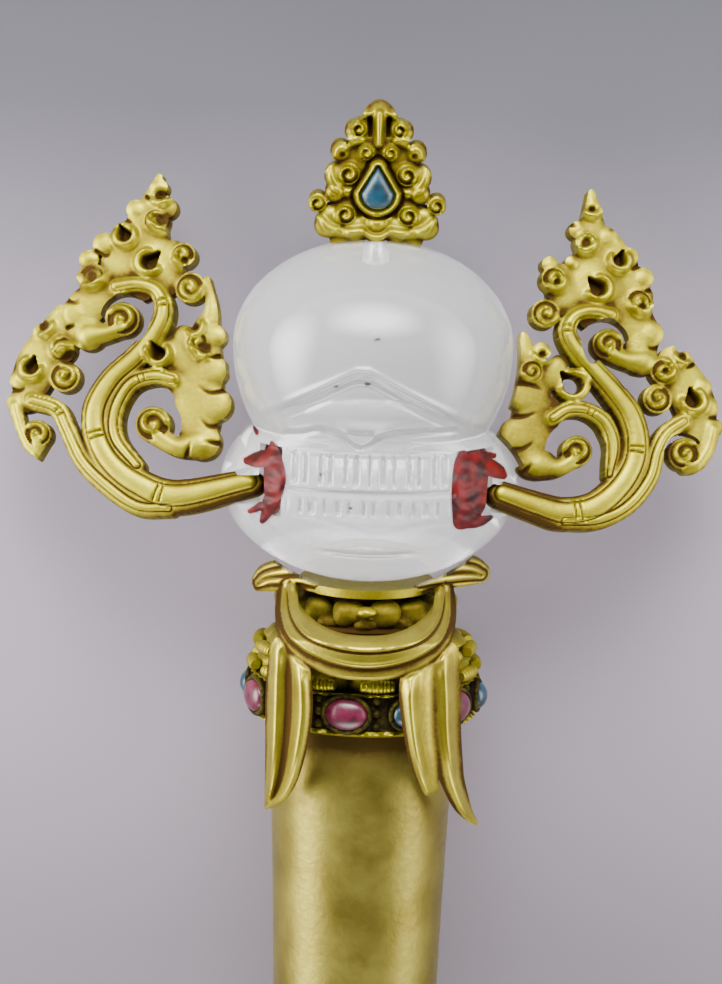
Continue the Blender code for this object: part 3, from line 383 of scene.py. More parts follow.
    def drop(self, u, v, radius, angle):
        """A deep drop-shaped hollow, its tip at an angle in degrees, painted dark with shade for its depth.
        """
        turn = math.radians(angle)
        tip = (u + DROP_LENGTH * radius * math.cos(turn), v + DROP_LENGTH * radius * math.sin(turn))
        spot, away, *_ = self.measure(np.array([(u, v, radius), (*tip, DROP_TIP)]))
        self.engrave(spot, 2.1 * eased((0.15 - away) / 0.6))

    def drop_rim(self, u, v, radius, angle):
        """The thick raised rim round a pierced drop."""
        self.solids.append(disc(u, v, radius + DROP_RIM))
        self.swell(arc_path(u, v, radius + 0.6, angle + 75.0, angle + 325.0, 0.8, pieces=20), 1.4)

    def vein(self, points):
        """A groove that parts two lobes, fading at its inner end, darkened by painted shade."""
        path = smooth_path([(u, v, 0.05) for u, v in points])
        spot, away, _, run, _ = self.measure(path)
        length = float(np.hypot(*np.diff(path[:, :2], axis=0).T).sum())
        self.engrave(spot, 0.6 * np.clip(1.25 * (1.0 - run / length), 0.0, 1.0) * bump(away, 0.26))

    def outside(self, u, v, axes=None):
        """Distance outside the plate's outline, negative on it; over a grid only near each path."""
        far = np.full(u.shape, 9.0)
        for paths, sign in ((self.solids, 1.0), (self.cuts, -1.0), (self.kept, 1.0)):
            for path in paths:
                spot = near(*axes, path) if axes else ...
                away = band_field(u[spot], v[spot], path)[0]
                far[spot] = np.minimum(far[spot], away) if sign > 0.0 else np.maximum(far[spot], -away)
        return far if self.clip is None else np.maximum(far, self.clip(u, v))

    def surface(self):
        """Heights of the face over the grid, and the painted shade of each point."""
        far = self.outside(self.u, self.v, (self.us, self.vs))
        inside = far <= 0.0
        sunk = np.where(inside, self.sunk, blurred(self.sunk, inside, 1))
        height = blurred(self.top, inside, 1) - sunk
        # Painted shade: darker where the face lies below its blurred surroundings and where it is sunk;
        # lighter on high points, as wear and painted highlight.
        wide = blurred(height, far < 1.5 * self.cell, SHADE_REACH)
        painted_shade = np.clip((wide - height) / 0.6, 0.0, 1.0) + np.clip(sunk / 0.5, 0.0, 1.0) * 0.8 + self.added_darkening
        painted_shade = np.clip(painted_shade, 0.0, 1.0) - np.clip((height - wide) / 1.2, 0.0, 0.6)
        return height, painted_shade

    def plate(self, place, back, sign=1.0):
        """Points and faces of the closed plate, turned over for a negative sign, and its painted shade."""
        half = 0.5 * self.cell
        middles = (self.us[:-1] + half, self.vs[:-1] + half)
        kept = self.outside(*np.meshgrid(*middles, indexing="ij"), middles) < 0.0
        for _ in range(2):
            a, b, c, d = kept[:-1, :-1], kept[1:, :-1], kept[1:, 1:], kept[:-1, 1:]
            crossed = (a & c & ~b & ~d) | (b & d & ~a & ~c)
            for i, j in np.argwhere(crossed):
                kept[i:i + 2, j:j + 2] = True
        touched = np.zeros(self.u.shape, dtype=int)
        for di in (0, 1):
            for dj in (0, 1):
                touched[di:di + kept.shape[0], dj:dj + kept.shape[1]] += kept
        rim = (touched > 0) & (touched < 4)
        u, v = self.u.copy(), self.v.copy()
        edge_u, edge_v = u[rim], v[rim]
        step = 0.02
        for _ in range(3):
            away = self.outside(edge_u, edge_v)
            slope_u = (self.outside(edge_u + step, edge_v) - away) / step
            slope_v = (self.outside(edge_u, edge_v + step) - away) / step
            steep = np.maximum(slope_u ** 2 + slope_v ** 2, 0.25)
            edge_u = edge_u - np.clip(away * slope_u / steep, -half, half)
            edge_v = edge_v - np.clip(away * slope_v / steep, -half, half)
        limit = 0.75 * self.cell
        u[rim] = np.clip(edge_u, u[rim] - limit, u[rim] + limit)
        v[rim] = np.clip(edge_v, v[rim] - limit, v[rim] + limit)
        height, painted_shade = self.surface()
        used = touched > 0
        count = int(used.sum())
        index = np.full(used.shape, -1)
        index[used] = np.arange(count)
        tops = place(u[used], v[used], height[used])
        bottoms = place(u[used], v[used], np.full(count, back))
        i, j = np.nonzero(kept)
        quads = np.stack([index[i, j], index[i + 1, j], index[i + 1, j + 1], index[i, j + 1]], axis=1)
        faces = quads.tolist() + (quads[:, ::-1] + count).tolist()
        padded = np.pad(kept, 1)
        for di, dj, corner_a, corner_b in ((-1, 0, (0, 1), (0, 0)), (1, 0, (1, 0), (1, 1)),
                                           (0, -1, (0, 0), (1, 0)), (0, 1, (1, 1), (0, 1))):
            beyond = padded[1 + di:1 + di + kept.shape[0], 1 + dj:1 + dj + kept.shape[1]]
            i, j = np.nonzero(kept & ~beyond)
            a = index[i + corner_a[0], j + corner_a[1]]
            b = index[i + corner_b[0], j + corner_b[1]]
            faces += np.stack([b, a, a + count, b + count], axis=1).tolist()
        if sign < 0.0:
            faces = [face[::-1] for face in faces]
        # The back of the plate gets a fixed painted shade.
        return np.vstack([tops, bottoms]), faces, np.concatenate([painted_shade[used], np.full(count, 0.45)])


def loft(rings):
    """Faces round a stack of equal rings of points, closed at both ends."""
    rings = np.asarray(rings, dtype=float)
    count, sides = rings.shape[:2]
    points = np.vstack([rings.reshape(-1, 3), rings[0].mean(axis=0), rings[-1].mean(axis=0)])
    low = np.arange(sides)
    high = np.roll(low, -1)
    faces = []
    for k in range(count - 1):
        base, above = k * sides, (k + 1) * sides
        faces += np.stack([base + low, base + high, above + high, above + low], axis=1).tolist()
    first, last = count * sides, count * sides + 1
    faces += [[int(b), int(a), first] for a, b in zip(low, high)]
    top = (count - 1) * sides
    faces += [[int(top + a), int(top + b), last] for a, b in zip(low, high)]
    return points, faces


def tube(path, radii, sides=16):
    """A round tube along a path of points."""
    path = np.asarray(path, dtype=float)
    ahead = np.gradient(path, axis=0)
    ahead /= np.linalg.norm(ahead, axis=1)[:, None]
    side = np.cross(ahead[0], (0.0, 0.0, 1.0))
    if np.linalg.norm(side) < 0.1:
        side = np.cross(ahead[0], (1.0, 0.0, 0.0))
    rings = []
    for place, along, radius in zip(path, ahead, np.broadcast_to(radii, len(path))):
        side = side - along * (side @ along)
        side /= np.linalg.norm(side)
        other = np.cross(along, side)
        turn = 2.0 * math.pi * np.arange(sides)[:, None] / sides
        rings.append(place + radius * (np.cos(turn) * side + np.sin(turn) * other))
    return loft(rings)


# Materials: gilt as (bright, worn, dark, mottle scale, roughness, grain scale), where dark is what
# mottling and painted shade mix towards; stone as (colour, deep colour, roughness, coat, cloud scale,
# specular level)
GILT_BRIGHT = (0.375, 0.345, 0.015)
GILT_WORN = (0.295, 0.230, 0.010)
GILT_BROWN = (0.055, 0.027, 0.004)
GILTS = {
    "gilt_relief": (GILT_BRIGHT, GILT_WORN, GILT_BROWN, 260.0, 0.42, 1500.0),
    # The collar's gilt is a shaded copy: its near-black dark colour is painted shade for the collar under the
    # scarf.
    "gilt_collar_shaded": (GILT_BRIGHT, GILT_WORN, (0.014, 0.009, 0.004), 260.0, 0.42, 1500.0),
    "gilt_tube": ((0.335, 0.288, 0.052), (0.205, 0.160, 0.024), (0.075, 0.045, 0.008), 110.0, 0.34, 900.0),
    "gilt_scarf": ((0.45, 0.395, 0.038), (0.33, 0.26, 0.024), GILT_BROWN, 200.0, 0.33, 1500.0),
}
STONES = {
    # The ruby's colour is its own, made darker as painted shade for the front ruby under the scarf.
    "ruby_stone": ((0.115, 0.008, 0.030), (0.035, 0.002, 0.008), 0.3, 0.15, 500.0, 0.5),
    "turquoise_stone": ((0.008, 0.047, 0.077), (0.003, 0.013, 0.020), 0.3, 0.15, 500.0, 0.5),
    "lacquer_wax": ((0.105, 0.001, 0.002), (0.015, 0.001, 0.001), 0.5, 0.03, 420.0, 0.2),
    "dark_inclusion": ((0.05, 0.035, 0.03), (0.02, 0.015, 0.012), 0.6, 0.0, 500.0, 0.5),
}


def wire(tree, made, values):
    """Set a node's settings and inputs, and link those that are given as an output."""
    for key, value in values.items():
        if isinstance(key, str) and key not in made.inputs:
            setattr(made, key, value)
        elif isinstance(value, bpy.types.NodeSocket):
            tree.links.new(value, made.inputs[key])
        else:
            made.inputs[key].default_value = value


def node(tree, kind, output, values=None):
    """Add one shader node and give back one of its outputs."""
    made = tree.nodes.new(f"ShaderNode{kind}")
    wire(tree, made, values or {})
    return made.outputs[output]


def ramp(tree, source, stops, blend="LINEAR"):
    """Add a colour ramp over (position, colour) stops: its first, its last, then those between."""
    made = tree.nodes.new("ShaderNodeValToRGB")
    tree.links.new(source, made.inputs["Fac"])
    made.color_ramp.interpolation = blend
    for k, (position, colour) in enumerate(stops):
        stop = made.color_ramp.elements[k] if k < 2 else made.color_ramp.elements.new(position)
        stop.position = position
        stop.color = (*colour, 1.0)
    return made.outputs["Color"]


def material(name):
    """Start a material: itself, its node tree and its shader."""
    made = bpy.data.materials.new(name)
    made.use_nodes = True
    return made, made.node_tree, made.node_tree.nodes["Principled BSDF"]


def gilt_material(name, bright, worn, dark, mottle, rough, grain):
    """Worn fire gilding: mottled, with fine tool marks, and painted shade that turns it brown in the
    recesses.
    """
    made, tree, shader = material(name)
    place = node(tree, "TexCoord", "Object")
    broad = node(tree, "TexNoise", "Fac", {"Vector": place, "Scale": mottle, "Detail": 5.0, "Roughness": 0.6})
    fine = node(tree, "TexNoise", "Fac", {"Vector": place, "Scale": grain, "Detail": 3.0, "Roughness": 0.55})
    # The painted shade attribute pulls the colour towards the dark colour and roughens it.
    painted_shade = node(tree, "Attribute", "Fac", {"attribute_name": "painted_shade"})
    tone = ramp(tree, broad, ((0.32, worn), (0.68, bright)))
    grit_and_shade = node(tree, "Math", "Value", {"operation": "MULTIPLY_ADD", 0: fine, 1: 0.35, 2: painted_shade})
    lift = node(tree, "Math", "Value", {"operation": "MULTIPLY_ADD", 0: broad, 1: 0.5, 2: grit_and_shade})
    share = node(tree, "MapRange", "Result", {"Value": lift, "From Min": 0.42, "From Max": 1.25})
    mixed = node(tree, "Mix", "Result", {"data_type": "RGBA", "Factor": share, "A": tone, "B": (*dark, 1.0)})
    gloss = node(tree, "MapRange", "Result", {"Value": lift, "From Min": 0.45, "From Max": 1.25,
                                              "To Min": rough, "To Max": 0.75})
    relief = node(tree, "Bump", "Normal", {"Strength": 0.25, "Distance": 0.0002, "Height": fine})
    wire(tree, shader, {"Base Color": mixed, "Roughness": gloss, "Metallic": 0.9, "Normal": relief})
    return made


def stone_material(name, colour, deep, rough, coat, scale, specular):
    """A polished stone with cloudy colour."""
    made, tree, shader = material(name)
    place = node(tree, "TexCoord", "Object")
    cloud = node(tree, "TexNoise", "Fac", {"Vector": place, "Scale": scale, "Detail": 4.0})
    tone = ramp(tree, cloud, ((0.35, deep), (0.65, colour)))
    wire(tree, shader, {"Base Color": tone, "Roughness": rough, "Specular IOR Level": specular,
                        "Coat Weight": coat, "Coat Roughness": 0.06})
    return made


def crystal_material():
    """Clear polished rock crystal, with plain values."""
    made, tree, shader = material("rock_crystal")
    wire(tree, shader, {"Base Color": (0.995, 0.998, 1.0, 1.0), "Roughness": 0.06, "IOR": 1.544,
                        "Transmission Weight": 0.79, "Sheen Weight": 0.3, "Sheen Roughness": 0.25})
    return made


GILT, GILT_SHADED, GILT_PLAIN, GILT_SCARF = (gilt_material(name, *values) for name, values in GILTS.items())
CRYSTAL = crystal_material()
RUBY, TURQUOISE, LACQUER, SPECK = (stone_material(name, *values) for name, values in STONES.items())


# Flame wings, in millimetres outwards from the jaw's side (u) and towards the crest (v).
# Stems, bodies and tails are rows of (u, v, half width), lobes and holes (u, v, radius), scrolls
# (u, v, radius, angle, hand), curls (u, v, radius, first and last angle, first and last half
# width), drops (u, v, radius, angle), hooks (u, v, radius, first and last angle, half width),
# veins rows of (u, v) and ticks (stem, u, v).
LEFT_WING = {
    "main": [(6.8, -2.9, 2.9), (13.6, -0.9, 2.8), (18.4, 2.8, 2.6), (20.9, 7.6, 2.5),
             (21.0, 12.3, 2.4), (18.4, 17.2, 2.2), (14.3, 21.2, 2.1), (11.4, 25.2, 1.8),
             (10.1, 29.1, 1.7), (11.3, 32.5, 1.5), (14.6, 33.7, 1.4), (18.4, 33.2, 1.5)],
    "outer": [(8.0, -5.0, 1.3), (13.5, -4.7, 1.6), (18.7, -1.4, 1.7), (23.1, 2.8, 1.6),
              (26.0, 8.3, 1.5), (28.0, 11.7, 1.5), (32.3, 13.1, 1.6)],
    "inner": [(13.7, 2.2, 1.2), (17.5, 6.8, 1.5), (17.8, 11.6, 1.5), (15.4, 16.2, 1.5),
              (11.6, 17.8, 1.5), (8.2, 17.3, 1.4)],
    "bodies": [
        [(14.6, 33.7, 2.0), (15.5, 37.1, 6.0), (14.4, 42.4, 4.2), (12.9, 48.0, 2.2), (11.9, 52.8, 0.5)],
        [(10.8, 34.7, 3.2), (9.2, 39.1, 2.6)],
        [(20.1, 32.7, 3.0), (24.3, 29.1, 3.4), (24.6, 25.6, 2.8)],
        [(33.6, 13.7, 2.6), (32.0, 18.9, 3.8), (29.6, 23.8, 3.2), (28.2, 29.0, 1.0)],
        [(3.7, 7.2, 3.0), (3.9, 14.1, 4.0), (3.6, 20.2, 3.4), (3.3, 25.4, 2.4), (2.2, 29.7, 1.1),
         (3.1, 35.0, 0.5)],
        [(6.7, 24.9, 2.0), (4.5, 22.3, 3.2)],
        [(8.2, 17.5, 1.8), (4.7, 15.4, 3.0)],
        [(10.2, 22.4, 2.4), (7.2, 21.8, 3.2), (4.6, 20.4, 3.2)],
    ],
    "lobes": [
        (11.9, 50.9, 1.5), (10.6, 47.4, 1.9), (15.7, 47.0, 1.7), (21.0, 40.8, 2.0), (23.6, 38.0, 1.7),
        (25.7, 28.6, 2.4), (23.1, 25.0, 2.9), (31.0, 25.0, 1.8), (34.5, 16.7, 2.0),
        (35.2, 12.7, 1.7), (1.6, 25.1, 2.0), (1.9, 19.2, 2.8), (1.2, 13.3, 3.0), (3.1, 6.8, 3.2),
    ],
    "scrolls": [(7.3, 39.0, 2.2, 200.0, 1.0), (22.9, 34.9, 2.5, 20.0, -1.0),
                (5.8, 33.3, 2.7, 160.0, 1.0), (12.2, 45.0, 2.2, 240.0, -1.0),
                (26.9, 17.4, 2.7, 60.0, 1.0), (27.7, 22.2, 2.4, 100.0, -1.0),
                (4.3, 23.8, 2.0, 180.0, 1.0)],
    "curls": [(17.3, 27.6, 3.0, 222.0, 15.0, 1.1, 0.5), (11.4, 9.5, 3.1, -62.0, 190.0, 1.0, 0.9),
              (31.2, 7.3, 2.4, 170.0, 20.0, 0.4, 0.3)],
    "tails": [
        [(23.1, 24.8, 2.2), (19.9, 25.3, 1.6), (17.3, 26.3, 1.6)],
        [(3.6, 6.4, 2.6), (7.2, 5.8, 1.7), (10.5, 7.5, 1.8)],
        [(35.3, 12.1, 1.2), (34.0, 7.9, 0.9), (32.6, 5.1, 0.9), (31.1, 3.4, 0.4)],
        [(31.2, 6.4, 1.9), (31.1, 3.2, 0.3)],
    ],
    "drops": [(17.4, 42.3, 1.2, 60.0), (13.0, 37.7, 1.4, 130.0), (32.7, 18.8, 1.2, 100.0),
              (10.8, 21.7, 1.2, 60.0)],
    "holes": [],
    "hooks": [(11.6, 50.0, 2.0, -35.0, -163.0, 0.6), (10.8, 45.7, 2.6, -10.0, -124.0, 0.65),
              (6.7, 38.4, 1.8, 4.0, -154.0, 0.6), (31.2, 26.4, 1.9, -81.0, -191.0, 0.6),
              (26.1, 19.8, 3.0, 29.0, 128.0, 0.7), (4.8, 26.7, 1.5, -30.0, -216.0, 0.55),
              (3.0, 23.5, 2.2, -15.0, -125.0, 0.6), (23.4, 36.2, 3.2, -72.0, -170.0, 0.6)],
    "veins": [
        [(0.0, 21.6), (2.4, 21.2), (4.4, 20.2)], [(-1.6, 16.0), (1.6, 15.2), (4.2, 16.4)],
        [(-1.9, 10.2), (1.6, 9.4), (3.6, 11.0)], [(-0.2, 6.4), (2.6, 6.8)], [(5.4, 4.2), (4.6, 6.8)],
        [(13.9, 49.2), (12.6, 48.2)], [(9.2, 49.4), (10.6, 48.8), (11.4, 49.4)], [(17.6, 45.2), (16.0, 44.4)],
        [(22.4, 39.6), (20.6, 38.8), (19.6, 39.6)], [(27.6, 31.0), (25.6, 30.4), (24.6, 31.2)],
        [(32.4, 27.2), (31.0, 27.0)], [(36.4, 15.0), (34.6, 14.8), (33.4, 15.6)],
        [(26.8, 26.0), (25.2, 26.6)],
    ],
    "ticks": [("main", 11.4, 30.2), ("inner", 13.5, 17.5), ("main", 19.8, 7.6), ("main", 9.4, -1.1),
              ("outer", 27.0, 11.5)],
}
RIGHT_WING = {
    "main": [(2.6, -2.8, 2.5), (7.3, -3.9, 2.8), (12.3, -2.9, 2.8), (16.5, 0.6, 2.6),
             (19.0, 5.0, 2.5), (19.4, 9.3, 2.4), (18.1, 13.6, 2.3), (15.2, 17.4, 2.1),
             (11.7, 21.2, 1.9), (8.6, 24.6, 1.7), (7.2, 27.6, 1.6), (8.4, 30.2, 1.4),
             (11.4, 31.2, 1.4), (14.8, 30.6, 1.5)],
    "outer": [(7.3, -5.4, 1.3), (13.3, -4.9, 1.5), (18.3, -2.2, 1.6), (21.8, 2.5, 1.6),
              (23.1, 7.3, 1.5), (24.7, 10.4, 1.5), (27.6, 12.6, 1.5)],
    "inner": [(14.9, 2.8, 0.8), (15.5, 7.9, 1.5), (14.1, 11.8, 1.5), (11.0, 13.9, 1.4),
              (7.6, 14.0, 1.4), (5.1, 12.4, 1.4)],
    "bodies": [
        [(11.4, 30.3, 2.2), (12.6, 35.1, 6.0), (12.4, 39.8, 4.0), (11.6, 45.9, 2.2), (11.2, 52.1, 0.6)],
        [(7.5, 33.2, 3.2), (5.7, 37.1, 2.4)],
        [(17.3, 31.8, 3.4), (20.4, 28.0, 3.0), (20.1, 23.2, 2.6)],
        [(14.5, 42.9, 2.4), (17.1, 38.7, 2.8), (19.8, 34.4, 2.4)],
        [(30.7, 9.7, 2.6), (29.9, 15.3, 3.6), (27.4, 20.4, 3.4), (25.2, 23.3, 2.0), (25.8, 25.3, 0.5)],
        [(2.3, 5.0, 3.0), (1.8, 9.7, 3.4), (2.0, 15.8, 3.0), (1.9, 20.1, 2.6), (0.8, 23.5, 1.6),
         (0.0, 26.8, 0.5)],
        [(4.9, 19.7, 2.4), (6.1, 21.9, 1.6)],
        [(4.2, 14.1, 2.4), (3.0, 10.6, 3.0)],
    ],
    "lobes": [
        (9.0, 45.4, 1.6), (14.0, 44.2, 1.9), (17.9, 41.1, 1.6), (20.4, 37.5, 1.8), (4.2, 39.2, 1.4),
        (21.9, 27.8, 2.2), (20.8, 23.0, 2.5), (11.4, 49.8, 1.2), (8.0, 39.6, 1.2), (27.7, 23.4, 1.5),
        (31.8, 15.3, 2.0), (32.8, 11.7, 1.8), (30.9, 18.7, 1.7), (3.1, 24.1, 1.5), (0.3, 16.1, 2.7),
        (-0.7, 9.5, 3.0), (2.9, 5.0, 3.1),
    ],
    "scrolls": [(4.9, 36.6, 2.2, 200.0, 1.0), (3.6, 30.5, 2.5, 20.0, -1.0),
                (19.6, 33.1, 2.4, 160.0, 1.0), (10.4, 43.2, 2.0, 240.0, -1.0),
                (23.1, 16.4, 2.6, 60.0, 1.0), (24.2, 21.2, 2.4, 100.0, -1.0),
                (1.4, 20.4, 2.0, 180.0, 1.0)],
    "curls": [(14.4, 25.6, 2.7, 222.0, 20.0, 1.2, 0.6), (9.4, 6.9, 2.7, -62.0, 190.0, 1.0, 1.4),
              (27.9, 7.0, 2.8, 190.0, 40.0, 0.45, 0.35)],
    "tails": [
        [(20.8, 22.8, 2.2), (17.6, 23.1, 1.6), (15.0, 24.1, 1.6)],
        [(3.2, 4.5, 2.6), (6.2, 4.0, 1.6), (9.1, 5.6, 1.6)],
        [(32.8, 11.5, 1.2), (32.1, 8.4, 1.3), (30.3, 5.4, 1.3), (28.5, 4.8, 1.2)],
    ],
    "drops": [(16.1, 40.3, 1.1, 70.0), (12.5, 35.3, 1.4, 130.0), (29.2, 16.3, 1.3, 100.0),
              (8.4, 18.3, 1.7, 130.0)],
    "holes": [(8.4, 18.3, 1.5)],
    "hooks": [(11.2, 49.4, 1.5, -175.0, 14.0, 0.6), (5.1, 36.4, 1.7, -146.0, 17.0, 0.6),
              (20.2, 32.6, 1.6, 179.0, 374.0, 0.6), (3.1, 23.8, 1.5, -171.0, 12.0, 0.55),
              (24.1, 21.6, 1.6, -142.0, 11.0, 0.55), (27.6, 24.2, 1.6, 177.0, 306.0, 0.55),
              (10.0, 43.5, 2.0, -136.0, 2.0, 0.6)],
    "veins": [
        [(-1.2, 18.4), (1.6, 18.0), (3.4, 17.2)], [(-3.2, 12.8), (0.2, 12.6), (2.6, 13.6)],
        [(-3.4, 7.0), (0.0, 7.0), (2.2, 8.6)], [(0.2, 2.6), (1.8, 4.6)], [(7.0, 46.4), (8.8, 46.0)],
        [(15.8, 46.0), (14.2, 45.8)], [(19.8, 39.8), (18.4, 39.0), (17.4, 39.8)],
        [(21.6, 35.4), (20.2, 35.0)],
        [(23.6, 25.4), (22.0, 25.2), (20.8, 25.8)], [(29.2, 22.6), (27.6, 21.8)],
        [(33.6, 13.4), (31.8, 13.4)],
    ],
    "ticks": [("main", 7.9, 27.9), ("inner", 12.2, 15.2), ("main", 17.2, 7.5), ("main", 9.5, -3.4)],
}
WINGS = {"left": LEFT_WING, "right": RIGHT_WING}
# How much darker and browner the wings' inner masses are made towards the crystal.
INNER_DARKENING = {"left": 0.22, "right": 0.42}


def dome_outline(x, y):
    """Distance outside the crystal dome's outline, seen from the front."""
    reach = np.where(y > DOME_Y, DOME_TOP, DOME_FALL)
    return (np.hypot(x / DOME_HALF_WIDTH, (y - DOME_Y) / reach) - 1.0) * DOME_TOP


def jaw_outline(x, y):
    """Distance outside the crystal jaw's outline, seen from the front."""
    reach = np.where(y > JAW_Y, JAW_RISE, JAW_FALL)
    return (np.hypot(x / JAW_HALF_WIDTH, (y - JAW_Y) / reach) - 1.0) * JAW_FALL


def wing_point(side, u, v, height):
    """Place points of the drawn wing, heights over its middle plane, on the leant wing."""
    out = u + ARM_INSET[side] - ARM_HALF
    up = v + ARM_DROP[side]
    lift = DRAWN_SLOPE * (WING_Z - DRAWN_Z - WING_SWEEP * out)
    up = (up + lift) / (1.0 + WING_LEAN * DRAWN_SLOPE)
    z = WING_Z - WING_SWEEP * out - WING_LEAN * up
    tilt = height / math.hypot(1.0, WING_SWEEP, WING_LEAN)
    x = JAW_HALF_WIDTH + u + tilt * WING_SWEEP
    y = JAW_Y - ARM_DROP[side] + up + tilt * WING_LEAN
    return np.stack([-x if side == "left" else x, y, z + tilt], axis=1)


def make_wing(side, sign):
    """Carve one flame wing in full relief."""
    wing = WINGS[side]
    relief = Relief(WING_WINDOW, WING_CELL, WING_EDGE)
    for points in wing["bodies"]:
        relief.band(smooth_path(points), 0.6, power=2.0, steep=0.7)
    for u, v, radius in wing["lobes"]:
        relief.lobe(u, v, radius, 0.75, power=3.2)
    for curl in wing["curls"]:
        relief.cuts.append(slot_path(*curl))
    for u, v, radius, angle in wing["drops"]:
        relief.lobe(u, v, radius + DROP_RIM, 0.7, power=3.2)
    for points in wing["tails"]:
        relief.band(smooth_path(points), 1.3, uncut=True, power=2.0, steep=0.6)
    arm = [(ARM_HALF - ARM_INSET[side], -ARM_DROP[side], ARM_HALF)]
    stems = (("outer", [], 1.7, 0.45), ("inner", [], 1.9, 0.5), ("main", arm, 2.3, 0.62))
    for name, start, rise, groove in stems:
        ticks = [(u, v) for stem, u, v in wing["ticks"] if stem == name]
        relief.band(smooth_path(start + wing[name]), rise, grooves=(groove,), ticks=ticks)
    for u, v, radius, start, hand in wing["scrolls"]:
        relief.scroll(u, v, radius, 1.5, start, hand, lift=0.5)
    for u, v, radius, start, end, wide, narrow in wing["curls"]:
        relief.scroll(u, v, radius, 1.9, end, math.copysign(1.0, start - end), lift=0.2, turns=1.25)
    for u, v, radius, start, end, half in wing["hooks"]:
        relief.crescent(u, v, radius, start, end, 1.25 * half, 1.1)
    for drop in wing["drops"]:
        relief.drop_rim(*drop)
        relief.drop(*drop)
    for hole in wing["holes"]:
        relief.cuts.append(disc(*hole))
    for points in wing["veins"]:
        relief.vein(points)

    def clip(u, v):
        crystal = dome_outline(JAW_HALF_WIDTH + u, JAW_Y + v)
        jaw = jaw_outline(JAW_HALF_WIDTH + u, JAW_Y + v)
        return WING_CLEAR - np.where(v > ARM_TOP, np.minimum(crystal, jaw), crystal)

    relief.clip = clip
    # Darker and browner over the inner masses, fading away from the crystal.
    relief.added_darkening = INNER_DARKENING[side] * eased((8.0 - relief.u) / 3.0) * eased((25.0 - relief.v) / 6.0)
    plate = relief.plate(lambda u, v, h: wing_point(side, u, v, h), WING_BACK, sign)
    add_mesh(f"flame_wing_{side}_relief", [plate], GILT, (f"flame_wing_{side}",))


# Crest, in millimetres to either side of the axis (u) and up from the dome's top (v). The
# stone's rows are (step outwards, rise).
CREST_SPINE = [(0.0, 3.8, 8.2), (0.0, 7.2, 7.6), (0.0, 12.7, 6.6), (0.0, 17.7, 4.6), (0.0, 21.8, 2.8),
               (0.0, 23.8, 0.9)]
CREST_LOBES = [(0.0, 22.8, 1.7), (4.2, 19.8, 1.6), (6.4, 16.4, 1.7), (6.9, 12.2, 2.1), (7.2, 9.4, 1.7),
               (7.6, 5.0, 2.3), (8.3, 3.9, 2.2), (3.4, 3.4, 2.3), (0.0, 4.2, 2.6)]
CREST_SCROLLS = [(3.4, 20.3, 1.5), (2.0, 16.3, 1.45), (4.9, 12.7, 2.0), (10.0, 7.7, 1.6), (5.3, 5.9, 1.9)]
CREST_LEAVES = [
    [(2.6, 18.4, 0.5), (4.6, 18.0, 0.9), (6.2, 17.2, 1.1), (7.3, 15.6, 0.6)],
    [(3.0, 10.0, 0.6), (5.0, 9.6, 0.9), (7.2, 10.6, 1.0), (8.2, 13.0, 0.8), (7.6, 14.6, 0.4)],
    [(2.6, 3.2, 0.7), (5.2, 2.8, 0.9), (8.0, 3.4, 1.0), (9.6, 5.2, 0.6)],
    [(1.6, 23.0, 0.5), (3.2, 22.2, 0.7), (4.8, 20.8, 0.5)],
]
STONE_PROFILE = [(0.0, 0.0), (0.0, 0.4), (-0.12, 0.62), (-0.35, 0.85), (-0.7, 1.1), (-1.2, 1.33),
                 (-1.7, 1.45), (-2.2, 1.5)]


def drop_away(u, v):
    """Distance outside the crest stone's outline."""
    return band_field(u, v, np.array([(0.0, DROP_Y, DROP_RADIUS), (0.0, DROP_Y + DROP_REACH, 0.15)]))[0]


def crest_point(u, v, height):
    """Place points of the drawn crest."""
    return np.stack([u, CREST_FOOT_Y - CREST_SINK + v, height], axis=1)


